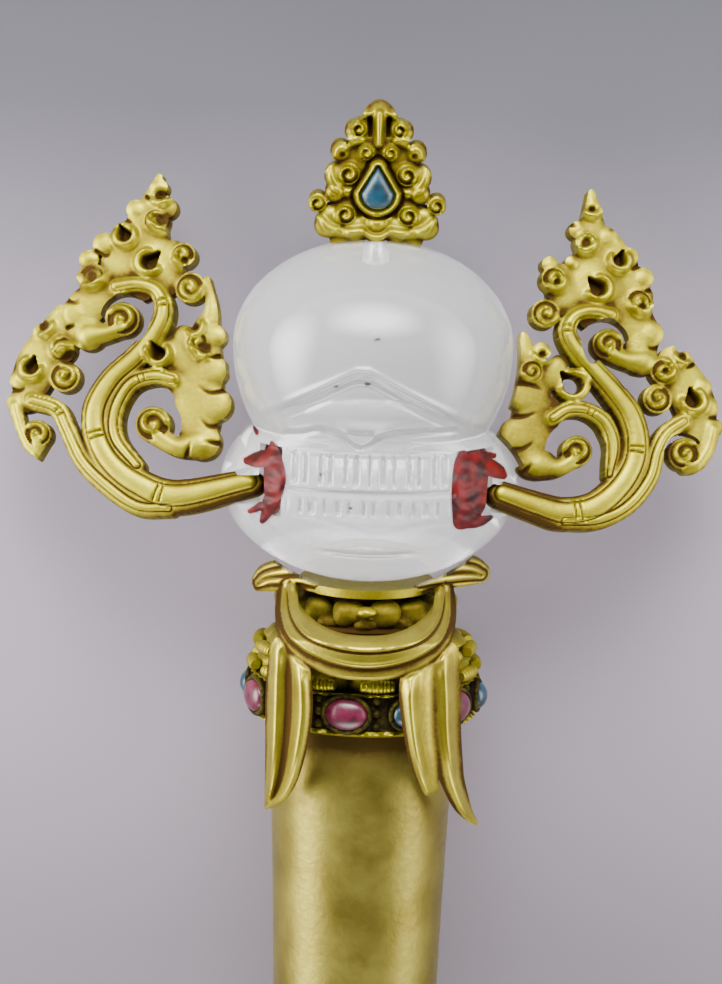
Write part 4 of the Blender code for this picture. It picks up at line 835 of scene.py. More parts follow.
def make_crest():
    """Carve the crest in full relief."""
    relief = Relief(((-13.0, -1.8), (13.0, 26.7)), CREST_CELL, CREST_EDGE)
    relief.band(smooth_path(CREST_SPINE), 0.5, power=2.0, steep=0.7)
    for u, v, radius in CREST_LOBES:
        for sign in (-1.0, 1.0) if u else (1.0,):
            relief.lobe(sign * u, v, radius, 1.3, power=3.0)
    for u, v, radius in CREST_SCROLLS:
        for sign in (-1.0, 1.0):
            relief.scroll(sign * u, v, radius, 1.9, 90.0 - sign * 150.0, sign, lift=0.9, turns=1.2)
    for points in CREST_LEAVES:
        for sign in (-1.0, 1.0):
            relief.swell(smooth_path([(sign * u, v, half) for u, v, half in points]), 1.0)
    relief.lobe(0.0, 4.4, 2.9, 0.5, lift=0.9)
    relief.lobe(0.0, 4.7, 1.6, 1.6, lift=1.0)
    relief.swell(arc_path(0.0, 4.6, 2.5, 200.0, 340.0, 0.6), 0.9)
    relief.band(np.array([(0.0, 17.8, 0.62), (0.0, 23.0, 0.7)]), 1.4, lift=1.1, solid=False)
    for sign in (-1.0, 1.0):
        spot, away, *_ = relief.measure(np.array([(sign * 1.5, 19.2, 0.4), (sign * 1.6, 21.9, 0.6)]))
        relief.engrave(spot, 1.5 * eased(-away / 0.5))
        relief.dimple(sign * 6.2, 16.0, 0.6, 0.8)
    away = drop_away(relief.u, relief.v) - GAP
    rim = eased(away / 0.12) * eased((BEZEL_WIDTH - away) / 0.3)
    bezel = np.maximum(relief.top, CREST_FLOOR + (BEZEL_HEIGHT - CREST_FLOOR) * rim)
    relief.top = np.where((away > 0.0) & (away < BEZEL_WIDTH + 0.25), bezel, relief.top)
    relief.top = np.where(away <= 0.0, CREST_FLOOR, relief.top)
    relief.sunk = np.where(away < BEZEL_WIDTH, 0.0, relief.sunk)
    relief.engrave(..., 0.8 * bump(away - BEZEL_WIDTH - 0.35, 0.3) * (away > BEZEL_WIDTH))
    relief.clip = lambda u, v: GAP - dome_outline(u, CREST_FOOT_Y - CREST_SINK + v)
    # Less painted shade over the whole crest.
    relief.added_darkening = relief.added_darkening - 0.12
    foot = CREST_FOOT_Y - PIN_DEPTH + GAP
    pin = tube([(0.0, y, 0.0) for y in np.linspace(foot, CREST_FOOT_Y + 4.0, 12)], PIN_RADIUS)
    # The pin gets a fixed painted shade.
    add_mesh("crest_relief", [relief.plate(crest_point, CREST_BACK), (*pin, 0.3)], GILT, ("crest",))


def drop_outline(offset, count=72):
    """Points round the crest stone's outline, moved outwards by an offset."""
    angle = math.pi / 2.0 + 2.0 * math.pi * np.arange(count) / count
    near, far = np.zeros(count), np.full(count, 12.0)
    for _ in range(36):
        reach = 0.5 * (near + far)
        inside = drop_away(reach * np.cos(angle), DROP_Y + reach * np.sin(angle)) < offset
        near, far = np.where(inside, reach, near), np.where(inside, far, reach)
    return near * np.cos(angle), DROP_Y + near * np.sin(angle)


def make_crest_stone():
    """Cut the drop-shaped stone in the crest."""
    rings = []
    for offset, rise in STONE_PROFILE:
        u, v = drop_outline(offset)
        rings.append(crest_point(u, v, np.full(len(u), CREST_FLOOR + GAP + rise)))
    add_mesh("crest_stone", [loft(rings)], TURQUOISE, ("crest_turquoise",), 60.0)


# Lacquer's smears on the crystal, in millimetres outwards from the axis and along it
LACQUER_WINDOW = ((12.0, -20.0), (26.0, 4.0))
LACQUER_CELL = 0.16
SMEARS = {
    "left": [
        [(16.6, -12.2, 1.2), (15.4, -8.0, 1.5), (16.0, -4.4, 1.2), (16.4, -2.4, 0.4)],
        [(16.0, -4.4, 1.0), (18.4, -5.2, 1.2), (20.8, -5.9, 0.5)],
        [(16.4, -12.4, 1.0), (17.2, -14.2, 0.8), (17.8, -15.6, 0.4)],
        [(18.0, -12.8, 0.7), (20.0, -14.2, 0.35)],
        [(19.2, -1.4, 0.35), (19.7, -1.1, 0.25)],
    ],
    "right": [
        [(15.8, -14.0, 1.7), (15.4, -9.4, 1.7), (15.4, -5.2, 1.5), (15.4, -3.4, 0.9)],
        [(16.0, -4.2, 1.1), (19.0, -5.2, 1.3), (21.6, -6.6, 1.0), (22.8, -7.6, 0.4)],
        [(18.4, -3.4, 0.4), (21.0, -4.2, 0.3)],
        [(16.6, -14.2, 1.4), (18.8, -14.6, 1.0), (20.6, -14.2, 0.4)],
    ],
}
# Dark specks: x, y, size and depth under the crystal's front
SPECKS = [(-6.0, 9.0, 0.42, 0.0), (-0.8, 9.6, 0.52, 0.0), (-3.0, -11.6, 0.36, 0.0), (0.6, 17.0, 0.8, 0.3),
          (-8.0, -6.6, 0.5, 0.25), (-0.6, 18.4, 0.5, 0.25)]

# Face carving, along the axis
FACE_SHIFT = 1.6
BROW_Y = 11.9
LIP_Y = 0.9
MOUTH_Y = -9.3
CHIN_Y = -20.3
TEETH = ((-8.4, -3.0, 0.0), (-13.4, -10.2, 0.5))
TOOTH_PITCH = 2.1


def carving(x, y):
    """Depth that the face carving takes off the crystal's front."""
    side = eased(1.5 * (1.0 - np.abs(x) / 22.0))
    brow = BROW_Y - 0.56 * np.sqrt(np.maximum(0.0, np.abs(x + FACE_SHIFT) - 0.8) ** 2 + 0.3)
    depth = 1.2 * side * eased((brow - y) / 1.3) * eased((y + 4.0) / 4.0)
    depth -= 0.42 * side * bump(y - brow - 0.5, 0.5)
    depth += 0.22 * side * bump(y - brow + 2.6, 0.45)
    lens = np.maximum(0.0, 1.0 - (x / 11.0) ** 2 - ((y - 3.6) / 3.3) ** 2)
    depth -= 0.9 * lens ** 0.75
    mouth = eased((15.0 - np.abs(x)) / 2.0)
    lip = LIP_Y - 2.8 * bump(x + FACE_SHIFT, 3.0) - 1.2 * eased((-x - 8.0) / 5.0)
    depth += 0.6 * mouth * bump(y - lip, 0.45)
    depth -= 0.25 * mouth * bump(y - lip - 1.0, 0.6)
    depth += 1.3 * mouth * np.maximum(0.0, 1.0 - np.abs(y - MOUTH_Y) / 0.7)
    depth += 0.25 * mouth * eased((y - MOUTH_Y) / 0.5) * eased((-2.4 - y) / 1.2)
    for low, high, shift in TEETH:
        tooth = np.abs(np.mod(x / TOOTH_PITCH + shift + 0.13 * np.sin(1.7 * x), 1.0) - 0.5) * 2.0
        gap = eased((tooth - 0.55) / 0.45)
        reach = eased((y - low) / 0.8) * eased((high - y) / 1.0) * eased((14.0 - np.abs(x)) / 1.2)
        depth += 0.85 * gap * reach
    chin = CHIN_Y + 1.6 * (x / 14.0) ** 2
    depth += 0.4 * eased((9.0 - np.abs(x)) / 3.0) * bump(y - chin, 0.45)
    return depth


def crystal_reach(heights):
    """Half width, front depth and back depth of the crystal at heights along the axis."""
    dome_reach = np.where(heights > DOME_Y, DOME_TOP, DOME_FALL)
    jaw_reach = np.where(heights > JAW_Y, JAW_RISE, JAW_FALL)
    dome = np.sqrt(np.maximum(0.0, 1.0 - ((heights - DOME_Y) / dome_reach) ** 2))
    dome = dome * eased((heights - WAIST_Y + 7.0) / 3.0)
    jaw = np.sqrt(np.maximum(0.0, 1.0 - ((heights - JAW_Y) / jaw_reach) ** 2))

    def soft_max(a, b, blend):
        return 0.5 * (a + b + np.sqrt((a - b) ** 2 + blend ** 2)) - 0.25 * blend * bump(a - b, 2.0 * blend)

    width = soft_max(DOME_HALF_WIDTH * dome, JAW_HALF_WIDTH * jaw, 0.6)
    front = soft_max(DOME_DEPTH * dome, JAW_FRONT * jaw, 0.6)
    back = soft_max(DOME_DEPTH * dome, JAW_BACK * jaw, 0.6)
    return width, front, back


def crystal_cutters():
    """Bodies to take out of the crystal: the pin's hole, the mouth corners and the arms' channels."""
    foot = DOME_Y + DOME_TOP - PIN_DEPTH
    hole = [(0.0, foot + rise, 0.0) for rise in (0.0, 4.0, PIN_DEPTH + 5.0)]
    cutters = [tube(hole, PIN_RADIUS + GAP, 32)]
    above = JAW_FRONT + 5.0
    room = ARM_HALF + GAP
    far = JAW_HALF_WIDTH + 3.0
    for side, sign in SIDES.items():
        end = JAW_HALF_WIDTH - ARM_INSET[side] + GAP
        elbow = WINGS[side]["main"][0]
        slope = (elbow[1] + ARM_DROP[side]) / (elbow[0] + ARM_INSET[side] - ARM_HALF)
        near_y = JAW_Y - ARM_DROP[side] - slope * (ARM_HALF - GAP)
        far_y = near_y + slope * (far - end)
        chamber = [(CORNER_X, CORNER_BOTTOM), (end + 0.6, CORNER_BOTTOM), (end + 0.6, CORNER_TOP),
                   (CORNER_X, CORNER_TOP)]
        channel = [(end, near_y - room), (far, far_y - room), (far, far_y + room), (end, near_y + room)]
        for outline, floor in ((chamber, CORNER_FLOOR_Z), (channel, CHANNEL_FLOOR_Z)):
            cutters.append(loft([[(sign * a, b, c) for a, b in outline] for c in (floor, above)]))
    return cutters


def make_crystal():
    """Carve, drill and open the crystal."""
    top = DOME_Y + DOME_TOP
    brow_top = WAIST_Y + 14.0
    rounding = np.sin(np.linspace(0.0, math.pi / 2.0, DOME_ROWS))[1:]
    upper = brow_top + (top - 0.02 - brow_top) * rounding
    heights = np.concatenate([np.linspace(JAW_CUT_Y, brow_top, FACE_ROWS), upper])
    width, front, back = crystal_reach(heights)
    ahead = np.linspace(0.0, math.pi, FRONT_SIDES + 1)[:-1]
    behind = np.linspace(math.pi, 2.0 * math.pi, BACK_SIDES + 1)[:-1]
    angle = np.concatenate([ahead, behind])
    rise = np.sin(angle)[None, :]
    x = width[:, None] * np.cos(angle)[None, :]
    z = np.where(rise > 0.0, front[:, None] * rise, back[:, None] * rise)
    y = np.broadcast_to(heights[:, None], x.shape)
    cut = carving(x, y) * np.maximum(rise, 0.0) ** 0.7
    z = np.where(rise > 0.0, np.maximum(0.2 * z, z - cut), z)
    z = np.maximum(z, 0.25 - AXIS_HEIGHT)
    points, faces = loft(np.stack([x, y, z], axis=2))
    body = (points, [face[::-1] for face in faces])
    head = add_mesh("crystal_head_carved", [body], CRYSTAL, ("crystal_head",), 50.0)
    tools = []
    for k, (cut_points, cut_faces) in enumerate(crystal_cutters()):
        data = bpy.data.meshes.new(f"cutter_{k}")
        data.from_pydata(placed(cut_points).tolist(), [], cut_faces)
        shape = bmesh.new()
        shape.from_mesh(data)
        bmesh.ops.recalc_face_normals(shape, faces=shape.faces)
        shape.to_mesh(data)
        shape.free()
        tools.append(add_object(f"cutter_{k}", data))
        step = head.modifiers.new(f"cut_{k}", "BOOLEAN")
        step.operation = "DIFFERENCE"
        step.solver = "EXACT"
        step.object = tools[-1]
    cooked = bpy.data.meshes.new_from_object(head.evaluated_get(bpy.context.evaluated_depsgraph_get()))
    head.modifiers.clear()
    head.data = cooked
    head.data.set_sharp_from_angle(angle=math.radians(50.0))
    for tool in tools:
        bpy.data.objects.remove(tool, do_unlink=True)


def blob(centre, half, seed, rough, count=(28, 40), power=2.0):
    """A lumpy rounded body."""
    rng = np.random.default_rng(seed)
    waves = rng.normal(size=(9, 3)) * 2.2
    phases = rng.uniform(0.0, 2.0 * math.pi, 9)
    lat = np.linspace(-math.pi / 2.0, math.pi / 2.0, count[0])[1:-1]
    lon = 2.0 * math.pi * np.arange(count[1]) / count[1]
    unit = np.stack([np.cos(lat)[:, None] * np.cos(lon), np.cos(lat)[:, None] * np.sin(lon),
                     np.broadcast_to(np.sin(lat)[:, None], (len(lat), len(lon)))], axis=2)
    shape = unit / (np.abs(unit) ** power).sum(axis=2, keepdims=True) ** (1.0 / power)
    swell = 1.0 + rough * np.sin(unit @ waves.T + phases).mean(axis=2, keepdims=True)
    return loft(np.asarray(centre) + np.asarray(half) * shape * swell)


def crystal_front(x, y):
    """Height of the crystal's carved front over the axis."""
    width, front, back = crystal_reach(y)
    rise = np.sqrt(np.maximum(0.0, 1.0 - (x / width) ** 2))
    return front * rise - carving(x, y) * rise ** 0.7


def make_lacquer(side, sign):
    """Press red sealing lacquer round the end of a wing's arm, with smears on the crystal."""
    low, high = CORNER_BOTTOM + GAP, CORNER_TOP - GAP
    inner = CORNER_X + GAP
    outer = JAW_HALF_WIDTH - ARM_INSET[side] - 3.0 * GAP
    middle = 0.5 * (inner + outer)
    half = 0.5 * (outer - inner)
    fill = Relief(LACQUER_WINDOW, LACQUER_CELL, 0.0)
    ends = [(middle + 0.3, low + half + 0.4, half + 0.4), (middle + 0.5, high - half - 0.6, half + 0.6)]
    fill.band(np.array(ends), 0.4, power=3.0)
    smear = Relief(LACQUER_WINDOW, LACQUER_CELL, 0.1)
    for points in SMEARS[side]:
        smear.band(smooth_path(points), 0.45, power=2.0, steep=0.6)
    rng = np.random.default_rng(5)
    waves = rng.normal(size=(8, 2)) * 1.9
    phases = rng.uniform(0.0, 2.0 * math.pi, 8)

    def place(u, v, height, deep):
        lumps = np.sin(np.stack([u, v], axis=-1) @ waves.T + phases).mean(axis=-1)
        front = np.where(height > -0.2, 0.4 * lumps - 0.15 * deep, 0.0)
        return np.stack([sign * u, v, crystal_front(u, v) + height + front], axis=1)

    plates = [fill.plate(lambda u, v, h: place(u, v, h, 1.0), -8.0, sign),
              smear.plate(lambda u, v, h: place(u, v, h, 0.0), -0.5, sign)]
    add_mesh(f"lacquer_{side}_lump", plates, LACQUER, (f"lacquer_{side}",))


def make_specks():
    """Dark pits in the crystal's front, and dark inclusions sealed just under it."""
    parts = []
    for k, (x, y, size, sunk) in enumerate(SPECKS):
        z = float(crystal_front(np.array(x), np.array(y))) - sunk
        parts.append(blob((x, y, z), (size, 0.6 * size, 0.4 * size), 20 + k, 0.5, (10, 14)))
    add_mesh("crystal_specks", parts, SPECK)


def turned(ys, radii):
    """Points round the axis: one radius for each height and angle."""
    sides = radii.shape[1]
    angle = 2.0 * math.pi * np.arange(sides) / sides
    y = np.broadcast_to(np.asarray(ys)[:, None], radii.shape)
    return loft(np.stack([radii * np.sin(angle), y, radii * np.cos(angle)], axis=2))


def profile_rows(profile, count):
    """Resample a (drop, radius) profile at equal runs along it."""
    rows = np.array(profile, dtype=float)
    run = np.concatenate([[0.0], np.cumsum(np.hypot(*np.diff(rows, axis=0).T))])
    at = np.linspace(0.0, run[-1], count)
    return np.interp(at, run, rows[:, 0]), np.interp(at, run, rows[:, 1])


# Rows of (drop, radius) down the seat and the collar, and (height, share) up the stones
SEAT_PROFILE = [(0.0, 11.4), (1.5, 11.4), (1.9, 8.4), (2.7, 7.6), (3.5, 8.4), (4.9, 8.9), (6.3, 9.4),
                (6.9, 10.9), (7.5, 11.0)]
COLLAR_PROFILE = [(0.0, 12.5), (1.1, 15.2), (2.7, 15.6), (4.2, 16.0), (6.1, 16.6), (7.5, 17.4), (8.5, 19.3),
                  (9.1, 18.6), (13.5, 18.6), (14.5, 18.6), (15.3, 19.3), (15.9, 18.2)]
GEM_PROFILE = [(0.0, 1.0), (0.12, 1.0), (0.3, 0.97), (0.5, 0.88), (0.68, 0.74), (0.84, 0.55), (0.94, 0.35),
               (1.0, 0.15)]


def make_seat():
    """Carve the seat under the crystal: a plate over a ring of rounded leaves."""
    drop, radius = profile_rows(SEAT_PROFILE, 60)
    points, faces = turned(SEAT_TOP_Y - drop, np.broadcast_to(radius[:, None], (len(radius), SEAT_SIDES)))
    # Painted shade under the seat's top plate and on its leaves; the knot at the front is left unshaded.
    shade = np.concatenate([np.repeat(0.2 + 0.75 * eased((drop - 1.6) / 0.6), SEAT_SIDES), [0.3, 0.3]])
    parts = [(points, faces, shade)]
    for i in range(SEAT_LOBES):
        here = 2.0 * math.pi * (i + 0.5) / SEAT_LOBES
        centre = around(here, SEAT_TOP_Y - 4.4, 9.6)
        parts.append((*blob(centre, (2.7, 2.0, 2.1), 40 + i, 0.34, (22, 30), 2.6), 0.55))
        centre = around(here + math.pi / SEAT_LOBES, SEAT_TOP_Y - 6.0, 9.9)
        parts.append((*blob(centre, (2.1, 1.1, 1.7), 60 + i, 0.30, (16, 24), 2.6), 0.7))
    parts.append((*blob(around(0.0, SEAT_TOP_Y - 3.6, 12.0), (1.7, 1.0, 1.3), 7, 0.3, (18, 24)), 0.0))
    add_mesh("crystal_seat_carved", parts, GILT, ("crystal_seat",))


def around(angle, y, radius, across=0.0):
    """A point off the axis: its angle from the front, and a step across it."""
    return (radius * math.sin(angle) + across * math.cos(angle), y,
            radius * math.cos(angle) - across * math.sin(angle))


def oval(angle, level, half, count=48):
    """Points round an upright oval on the band of settings, facing out from the axis."""
    turns = 2.0 * math.pi * np.arange(count) / count
    return [around(angle, GEM_Y + half[1] * math.sin(t), level, half[0] * math.cos(t)) for t in turns]


def roll(angle, y, radius, width, size):
    """A rolled leaf end lying across the collar, thinner towards its ends."""
    shares = np.linspace(-1.0, 1.0, 25)
    path = [around(angle, y, radius, share * width) for share in shares]
    return tube(path, size * (1.0 - 0.25 * shares * shares + 0.06 * np.cos(9.0 * math.pi * shares)), 18)


def make_collar():
    """Carve the collar: two tiers of rolled leaves, bead rows and the band of settings."""
    drop, radius = profile_rows(COLLAR_PROFILE, 150)
    angle = 2.0 * math.pi * np.arange(COLLAR_SIDES) / COLLAR_SIDES
    turn = 0.5 * GEMS * (angle - GEM_START)[None, :]
    upper, lower = (np.maximum(0.0, 1.0 - np.abs(drop - row) / 1.9)[:, None] ** 0.7 * np.abs(wave) ** 0.5
                    for row, wave in zip(TIER_DROPS, (np.cos(turn), np.sin(turn))))
    beads = sum(bump(drop - row, 0.35) for row in BEAD_DROPS)[:, None] * np.cos(BEADS * angle)[None, :]
    radii = radius[:, None] + 2.0 * upper + 2.0 * lower + 0.3 * beads
    points, faces = turned(COLLAR_TOP_Y - drop, radii)
    # Painted shade: dark between and under the rolled leaves, across the band of settings and round the
    # bezels and beads; lighter on the rolls and the band's edges.
    shade = np.clip(0.8 - 0.9 * upper - 0.9 * lower, 0.0, 1.0)
    band = ((drop > 8.3) & (drop < 9.0)) | (drop > 14.8)
    shade = np.where(band[:, None], 0.15, shade)
    parts = [(points, faces, np.concatenate([shade.reshape(-1), [0.3, 0.3]]))]
    for i in range(GEMS):
        here = GEM_START + 2.0 * math.pi * i / GEMS
        between = here + math.pi / GEMS
        parts.append((*roll(here, COLLAR_TOP_Y - 3.6, 18.1, 2.9, 1.15), 0.1))
        parts.append((*roll(between, COLLAR_TOP_Y - 6.9, 19.0, 2.9, 1.2), 0.1))
        half = np.array(RUBY_HALF if i % 2 == 0 else TURQUOISE_HALF)
        ring = oval(here, BEZEL_RADIUS + 0.35, half + 0.35)
        parts.append((*tube(ring + ring[:1], 0.42, 10), 0.75))
        pad = [oval(here, level, half + 0.5) for level in (BAND_RADIUS - 0.4, BEZEL_RADIUS)]
        parts.append((*loft(pad), 0.95))
        for lift in (-2.2, 0.0, 2.2):
            centre = around(between, GEM_Y + lift, BAND_RADIUS + 0.3)
            parts.append((*blob(centre, (0.7, 0.7, 0.6), 1, 0.0, (10, 14)), 0.75))
    add_mesh("jewelled_collar_carved", parts, GILT_SHADED, ("jewelled_collar",))


def make_gems():
    """Polish the collar's stones."""
    for i in range(GEMS):
        here = GEM_START + 2.0 * math.pi * i / GEMS
        kind, stone, half = (("ruby", RUBY, RUBY_HALF), ("turquoise", TURQUOISE, TURQUOISE_HALF))[i % 2]
        rings = [oval(here, BEZEL_RADIUS + GAP + GEM_RISE * height, share * np.array(half), 40)
                 for height, share in GEM_PROFILE]
        name = f"{kind}_{i // 2 + 1}"
        add_mesh(f"{name}_polished", [loft(rings)], stone, (name,))


# Scarf, in millimetres to the right of the axis (u) and up from the crystal's foot (v)
SCARF_SWAG = [(13.5, -1.2, 1.4), (13.3, -4.2, 2.0), (10.7, -7.2, 2.8), (5.7, -8.9, 3.4), (0.0, -9.4, 3.5)]
SCARF_STEP = [(13.1, -1.2, 1.2), (12.7, -4.0, 1.5), (9.9, -6.4, 1.9), (5.2, -7.8, 2.2), (0.0, -8.25, 2.35)]
SCARF_RIM = [(12.5, -1.2, 0.8), (11.8, -3.7, 0.75), (8.9, -5.4, 0.8), (4.7, -6.4, 0.8), (0.0, -6.7, 0.85)]
SCARF_TAILS = [
    [(-12.6, -9.6, 3.3), (-12.5, -14.0, 3.8), (-12.4, -19.4, 4.0), (-12.75, -25.3, 3.5), (-13.4, -30.6, 2.8),
     (-14.4, -34.4, 1.8), (-15.8, -37.2, 0.4)],
    [(9.2, -9.6, 2.6), (8.9, -15.0, 3.0), (9.6, -22.4, 2.6), (10.8, -28.3, 2.2), (11.7, -32.2, 1.3)],
    [(13.0, -9.4, 2.8), (13.6, -16.0, 2.8), (14.0, -22.4, 2.6), (14.8, -28.3, 2.3), (15.6, -31.8, 1.9),
     (16.9, -35.5, 1.5), (18.3, -38.3, 0.9), (19.8, -40.2, 0.3)],
]
SCARF_FOLDS = [((-0.55, 1.5), (-0.02, -0.9), (0.5, 1.5)), ((-0.35, 1.7),), ((0.1, 1.5), (-0.85, -0.5))]
SCARF_LEAVES = [
    [(-8.8, 0.3, 1.9), (-11.6, 0.8, 2.3), (-14.6, 0.3, 2.4), (-17.0, -0.5, 1.9), (-18.6, -1.6, 1.0)],
    [(8.8, 0.8, 1.9), (11.6, 1.4, 2.4), (14.8, 1.7, 2.7), (17.6, 1.4, 2.4), (19.7, 0.6, 1.5)],
]


def scarf_depth(u, v):
    """Height of the scarf's middle surface over the handle's axis."""
    out = SCARF_NECK_Z + (SCARF_RADIUS - SCARF_NECK_Z) * eased((-1.0 - v) / 6.0)
    out = out - SCARF_TUCK * eased((-25.0 - v) / 16.0)
    return out - u * u / SCARF_BEND


def mirrored(points):
    """A half path with its mirror image in front of it."""
    return smooth_path([(-u, v, half) for u, v, half in points] + points[-2::-1])


def make_scarf():
    """Shape the scarf: stepped swag, folded tails and curled leaves."""
    relief = Relief(((-23.0, -43.0), (23.0, 5.0)), SCARF_CELL, 0.6)
    for points, folds in zip(SCARF_TAILS, SCARF_FOLDS):
        path = smooth_path(points)
        relief.solids.append(path)
        spot, away, half, _, side = relief.measure(path)
        across = np.clip(1.0 + away / half, 0.0, 1.0) * side
        fold = 0.7 * (1.0 - np.abs(across) ** 6)
        for place, rise in folds:
            fold = fold + rise * np.maximum(0.0, 1.0 - np.abs(across - place) / 0.52) ** 0.9
        under = band_field(relief.u[spot], relief.v[spot], mirrored(SCARF_SWAG))[0]
        fade = eased(half / 1.6) * (0.25 + 0.75 * eased(under / 3.0))
        relief.raise_to(spot, away < 0.0, 0.5 + np.maximum(0.0, fold) * (0.4 + 0.6 * fade))
    for points, level, slope in ((SCARF_SWAG, 1.3, 1.0), (SCARF_STEP, 2.3, 0.25), (SCARF_RIM, 3.3, 0.2)):
        lowest = points is SCARF_SWAG
        path = mirrored(points)
        relief.solids.append(path)
        spot, away, half, _, side = relief.measure(path, 1.6)
        across = (1.0 + away / half) * side
        down = (1.0 - across) * half
        if across[np.argmin(np.abs(relief.us[spot[0]])), 0] < 0.0:
            down = (1.0 + across) * half
        face = level - slope * (1.0 - np.clip(down / half, 0.0, 1.0)) + 0.5 * bump(down - 0.55, 0.32)
        face = face - 0.5 * eased((0.5 - down) / 0.5)
        held = eased((0.15 - away) / 0.3)
        relief.top[spot] = held * face + (1.0 - held) * relief.top[spot]
        relief.sunk[spot] = (1.0 - held) * relief.sunk[spot]
        # Painted shade on the swag's lowest band, where the strap's underside turns away; the ditch below the
        # upper tiers' edges is sunk, which also paints shade.
        relief.added_darkening[spot] = (1.0 - held) * relief.added_darkening[spot] + 0.12 * held * lowest
        ditch = 0.4 * bump(away - 0.2, 0.3) * (down < 0.0) * (not lowest)
        relief.engrave(spot, (1.0 - held) * ditch)
    for points in SCARF_LEAVES:
        relief.band(smooth_path(points), 1.6, grooves=(0.05, 0.62), groove_depth=0.5, groove_width=0.28)
    relief.clip = lambda u, v: 2.0 * GAP - jaw_outline(u, JAW_CUT_Y + v)

    def place(u, v, height):
        return np.stack([u, JAW_CUT_Y + v, scarf_depth(u, v) + height], axis=1)

    turns = np.linspace(LOOP_START, -math.pi - LOOP_START, 80)
    loop = tube([(LOOP_RADIUS * math.cos(t), JAW_CUT_Y - 4.0, LOOP_RADIUS * math.sin(t)) for t in turns], 1.2)
    # The loop gets a fixed painted shade.
    add_mesh("scarf_folded", [relief.plate(place, SCARF_BACK), (*loop, 0.3)], GILT_SCARF, ("scarf",))


# Rows of (run, radius) down the handle's foot
FOOT_PROFILE = [(0.6, 14.2), (2.4, 15.2), (4.2, 14.2), (5.0, 12.2), (9.0, 12.2), (10.0, 14.4), (12.6, 14.4),
                (13.6, 12.6)]


def make_handle():
    """Draw the tube handle with its mouldings and knob."""
    tube_end = HANDLE_LENGTH - KNOB_LENGTH - FOOT_LENGTH
    runs = np.linspace(0.0, tube_end, 140)
    rows = [(run, HANDLE_RADIUS + HANDLE_FLARE * math.exp(-run / FLARE_LENGTH)) for run in runs]
    soft = smooth_path([(drop, radius, 0.0) for drop, radius in FOOT_PROFILE], 6)
    rows += [(tube_end + drop, radius) for drop, radius, _ in soft]
    knob = tube_end + FOOT_LENGTH + 0.5 * KNOB_LENGTH
    for turn in np.radians(np.linspace(64.0, -88.0, 60)):
        rows.append((knob - 0.5 * KNOB_LENGTH * math.sin(turn), KNOB_RADIUS * math.cos(turn)))
    rows = np.array(rows)
    radii = np.broadcast_to(rows[:, 1:], (len(rows), HANDLE_SIDES))
    points, faces = turned(HANDLE_TOP_Y - rows[:, 0], radii)
    points[:, 2] = np.maximum(points[:, 2], -AXIS_HEIGHT)
    # Painted shade: a painted shadow down the top of the handle under the collar, and painted shade in the
    # foot's groove.
    shade = 0.1 + 1.0 * bump(rows[:, 0], 4.5) + 0.5 * bump(rows[:, 0] - tube_end - 7.0, 2.0)
    painted_shade = np.concatenate([np.repeat(shade, HANDLE_SIDES), [0.3, 0.3]])
    add_mesh("handle_tube", [(points, faces, painted_shade)], GILT_PLAIN, ("handle",))


make_handle()
make_collar()
make_gems()
make_seat()
make_scarf()
make_crystal()
make_specks()
for side_name, side_sign in SIDES.items():
    make_lacquer(side_name, side_sign)
for side_name, side_sign in SIDES.items():
    make_wing(side_name, side_sign)
make_crest()
make_crest_stone()


# Floor, light and camera
FLOOR_HALF = 15.0
# Painted light on the floor: bright across the middle, darker towards the handle's foot and darker and cooler
# towards the crest.
FLOOR_NEAR = (0.115, 0.101, 0.117)
FLOOR_MIDDLE = (0.36, 0.31, 0.37)
FLOOR_FAR = (0.023, 0.028, 0.034)
SKY_LOW = (1.5, 1.51, 1.54)
SKY_MIDDLE = (0.72, 0.73, 0.75)
SKY_HIGH = (0.12, 0.12, 0.13)
LIGHT_AIM = (0.0, 0.0, 0.02)
LIGHT_PEAK = 2.6
LIGHTS = {
    "left_light": ((-0.9, 0.10, 0.34), (1.8, 1.0), 49.0, (1.0, 0.99, 0.96)),
    "right_light": ((0.9, 0.10, 0.34), (1.8, 1.0), 22.0, (1.0, 0.99, 0.96)),
    "crest_light": ((0.0, 0.85, 0.72), (1.8, 1.1), 65.0, (0.98, 0.98, 1.0)),
    "foot_light": ((0.0, -1.0, 0.5), (1.6, 0.9), 18.0, (1.0, 0.99, 0.97)),
}
PIXEL = 0.17 * MM
PHOTO_HEIGHT = 984.0
CENTRE_LEFT = 10.0
CENTRE_DOWN = 72.0
CAMERA_LEAN = math.radians(10.5)
CAMERA_ROLL = math.radians(1.62)
CAMERA_DISTANCE = 0.70
SENSOR_HEIGHT = 36.0


def make_floor():
    """Lay a pale floor with painted light: bright across the middle, darker towards the handle's foot and
    darker and cooler towards the crest.
    """
    made, tree, shader = material("floor_with_painted_light")
    place = node(tree, "TexCoord", "Object")
    along = node(tree, "SeparateXYZ", "Y", {"Vector": place})
    share = node(tree, "MapRange", "Result", {"Value": along, "From Min": -0.30, "From Max": 0.20})
    tone = ramp(tree, share, ((0.0, FLOOR_NEAR), (1.0, FLOOR_FAR), (0.38, FLOOR_NEAR), (0.54, FLOOR_MIDDLE),
                              (0.68, FLOOR_FAR)), "B_SPLINE")
    wire(tree, shader, {"Base Color": tone, "Roughness": 0.9})
    data = bpy.data.meshes.new("floor")
    corners = ((-1.0, -1.0), (1.0, -1.0), (1.0, 1.0), (-1.0, 1.0))
    data.from_pydata([(x * FLOOR_HALF, y * FLOOR_HALF, 0.0) for x, y in corners], [], [(0, 1, 2, 3)])
    data.materials.append(made)
    floor = add_object("floor", data)


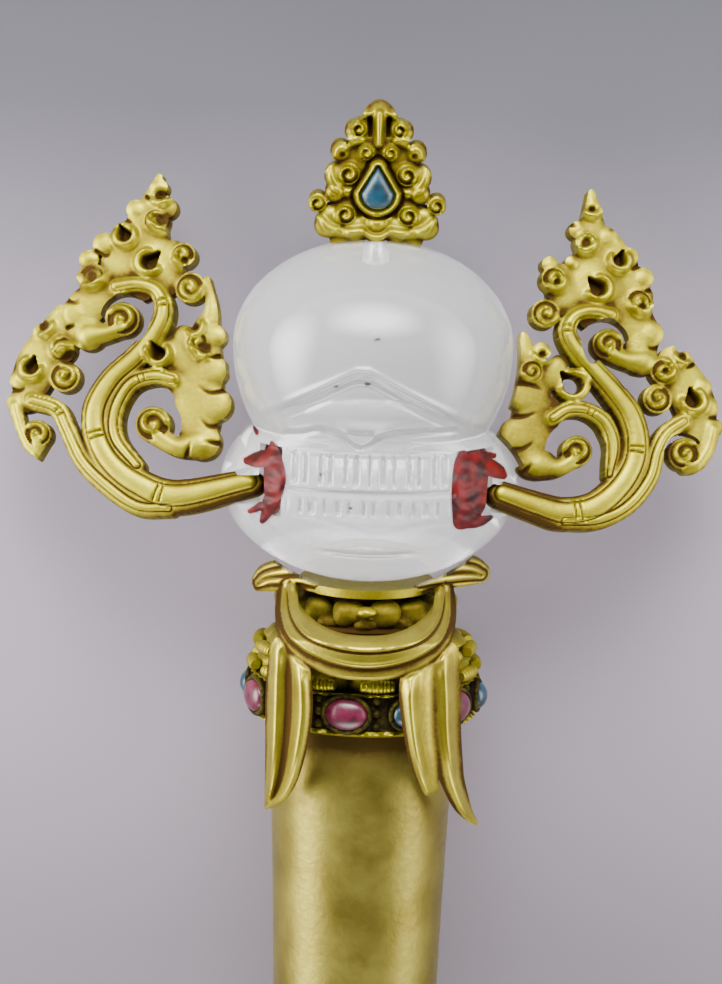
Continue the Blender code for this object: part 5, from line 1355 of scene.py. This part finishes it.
def make_light(name, place, size, power, colour):
    """Hang one rectangular light that fades towards its edges, and aim it."""
    data = bpy.data.lights.new(name, "AREA")
    data.shape = "RECTANGLE"
    data.size, data.size_y = size
    data.energy = power
    data.color = colour
    data.use_nodes = True
    tree = data.node_tree
    spot = node(tree, "NewGeometry", "Parametric")
    off = node(tree, "VectorMath", "Vector", {"operation": "SUBTRACT", 0: spot, 1: (0.5, 0.5, 0.0)})
    far = node(tree, "VectorMath", "Value", {"operation": "LENGTH", 0: off})
    fade = node(tree, "MapRange", "Result", {"interpolation_type": "SMOOTHSTEP", "Value": far,
                                             "From Min": 0.5, "From Max": 0.0, "To Max": LIGHT_PEAK})
    wire(tree, tree.nodes["Emission"], {"Strength": fade})
    lamp = add_object(name, data)
    lamp.location = place
    lamp.rotation_euler = (Vector(LIGHT_AIM) - Vector(place)).to_track_quat("-Z", "Y").to_euler()


def make_sky():
    """A dim sky, brightest at the horizon."""
    world = bpy.data.worlds.new("sky")
    bpy.context.scene.world = world
    world.use_nodes = True
    tree = world.node_tree
    place = node(tree, "TexCoord", "Generated")
    height = node(tree, "SeparateXYZ", "Z", {"Vector": place})
    tone = ramp(tree, height, ((0.05, SKY_LOW), (0.95, SKY_HIGH), (0.4, SKY_MIDDLE)))
    wire(tree, tree.nodes["Background"], {"Color": tone, "Strength": 1.0})


def make_camera():
    """Look down on the lying sceptre as the photograph does."""
    right = Vector((1.0, 0.0, 0.0))
    up = Vector((0.0, math.cos(CAMERA_LEAN), -math.sin(CAMERA_LEAN)))
    view = Vector((0.0, math.sin(CAMERA_LEAN), math.cos(CAMERA_LEAN)))
    across = right * math.cos(CAMERA_ROLL) + up * math.sin(CAMERA_ROLL)
    upward = up * math.cos(CAMERA_ROLL) - right * math.sin(CAMERA_ROLL)
    centre = Vector(ORIGIN * MM) - across * (CENTRE_LEFT * PIXEL) - upward * (CENTRE_DOWN * PIXEL)
    data = bpy.data.cameras.new("camera")
    data.sensor_fit = "VERTICAL"
    data.sensor_height = SENSOR_HEIGHT
    data.lens = SENSOR_HEIGHT * CAMERA_DISTANCE / (PHOTO_HEIGHT * PIXEL)
    data.clip_start = 0.01
    camera = add_object("camera", data)
    turn = Matrix((across, upward, view)).transposed().to_4x4()
    camera.matrix_world = Matrix.Translation(centre + view * CAMERA_DISTANCE) @ turn
    bpy.context.scene.camera = camera


make_floor()
for light_name, light_values in LIGHTS.items():
    make_light(light_name, *light_values)
make_sky()
make_camera()
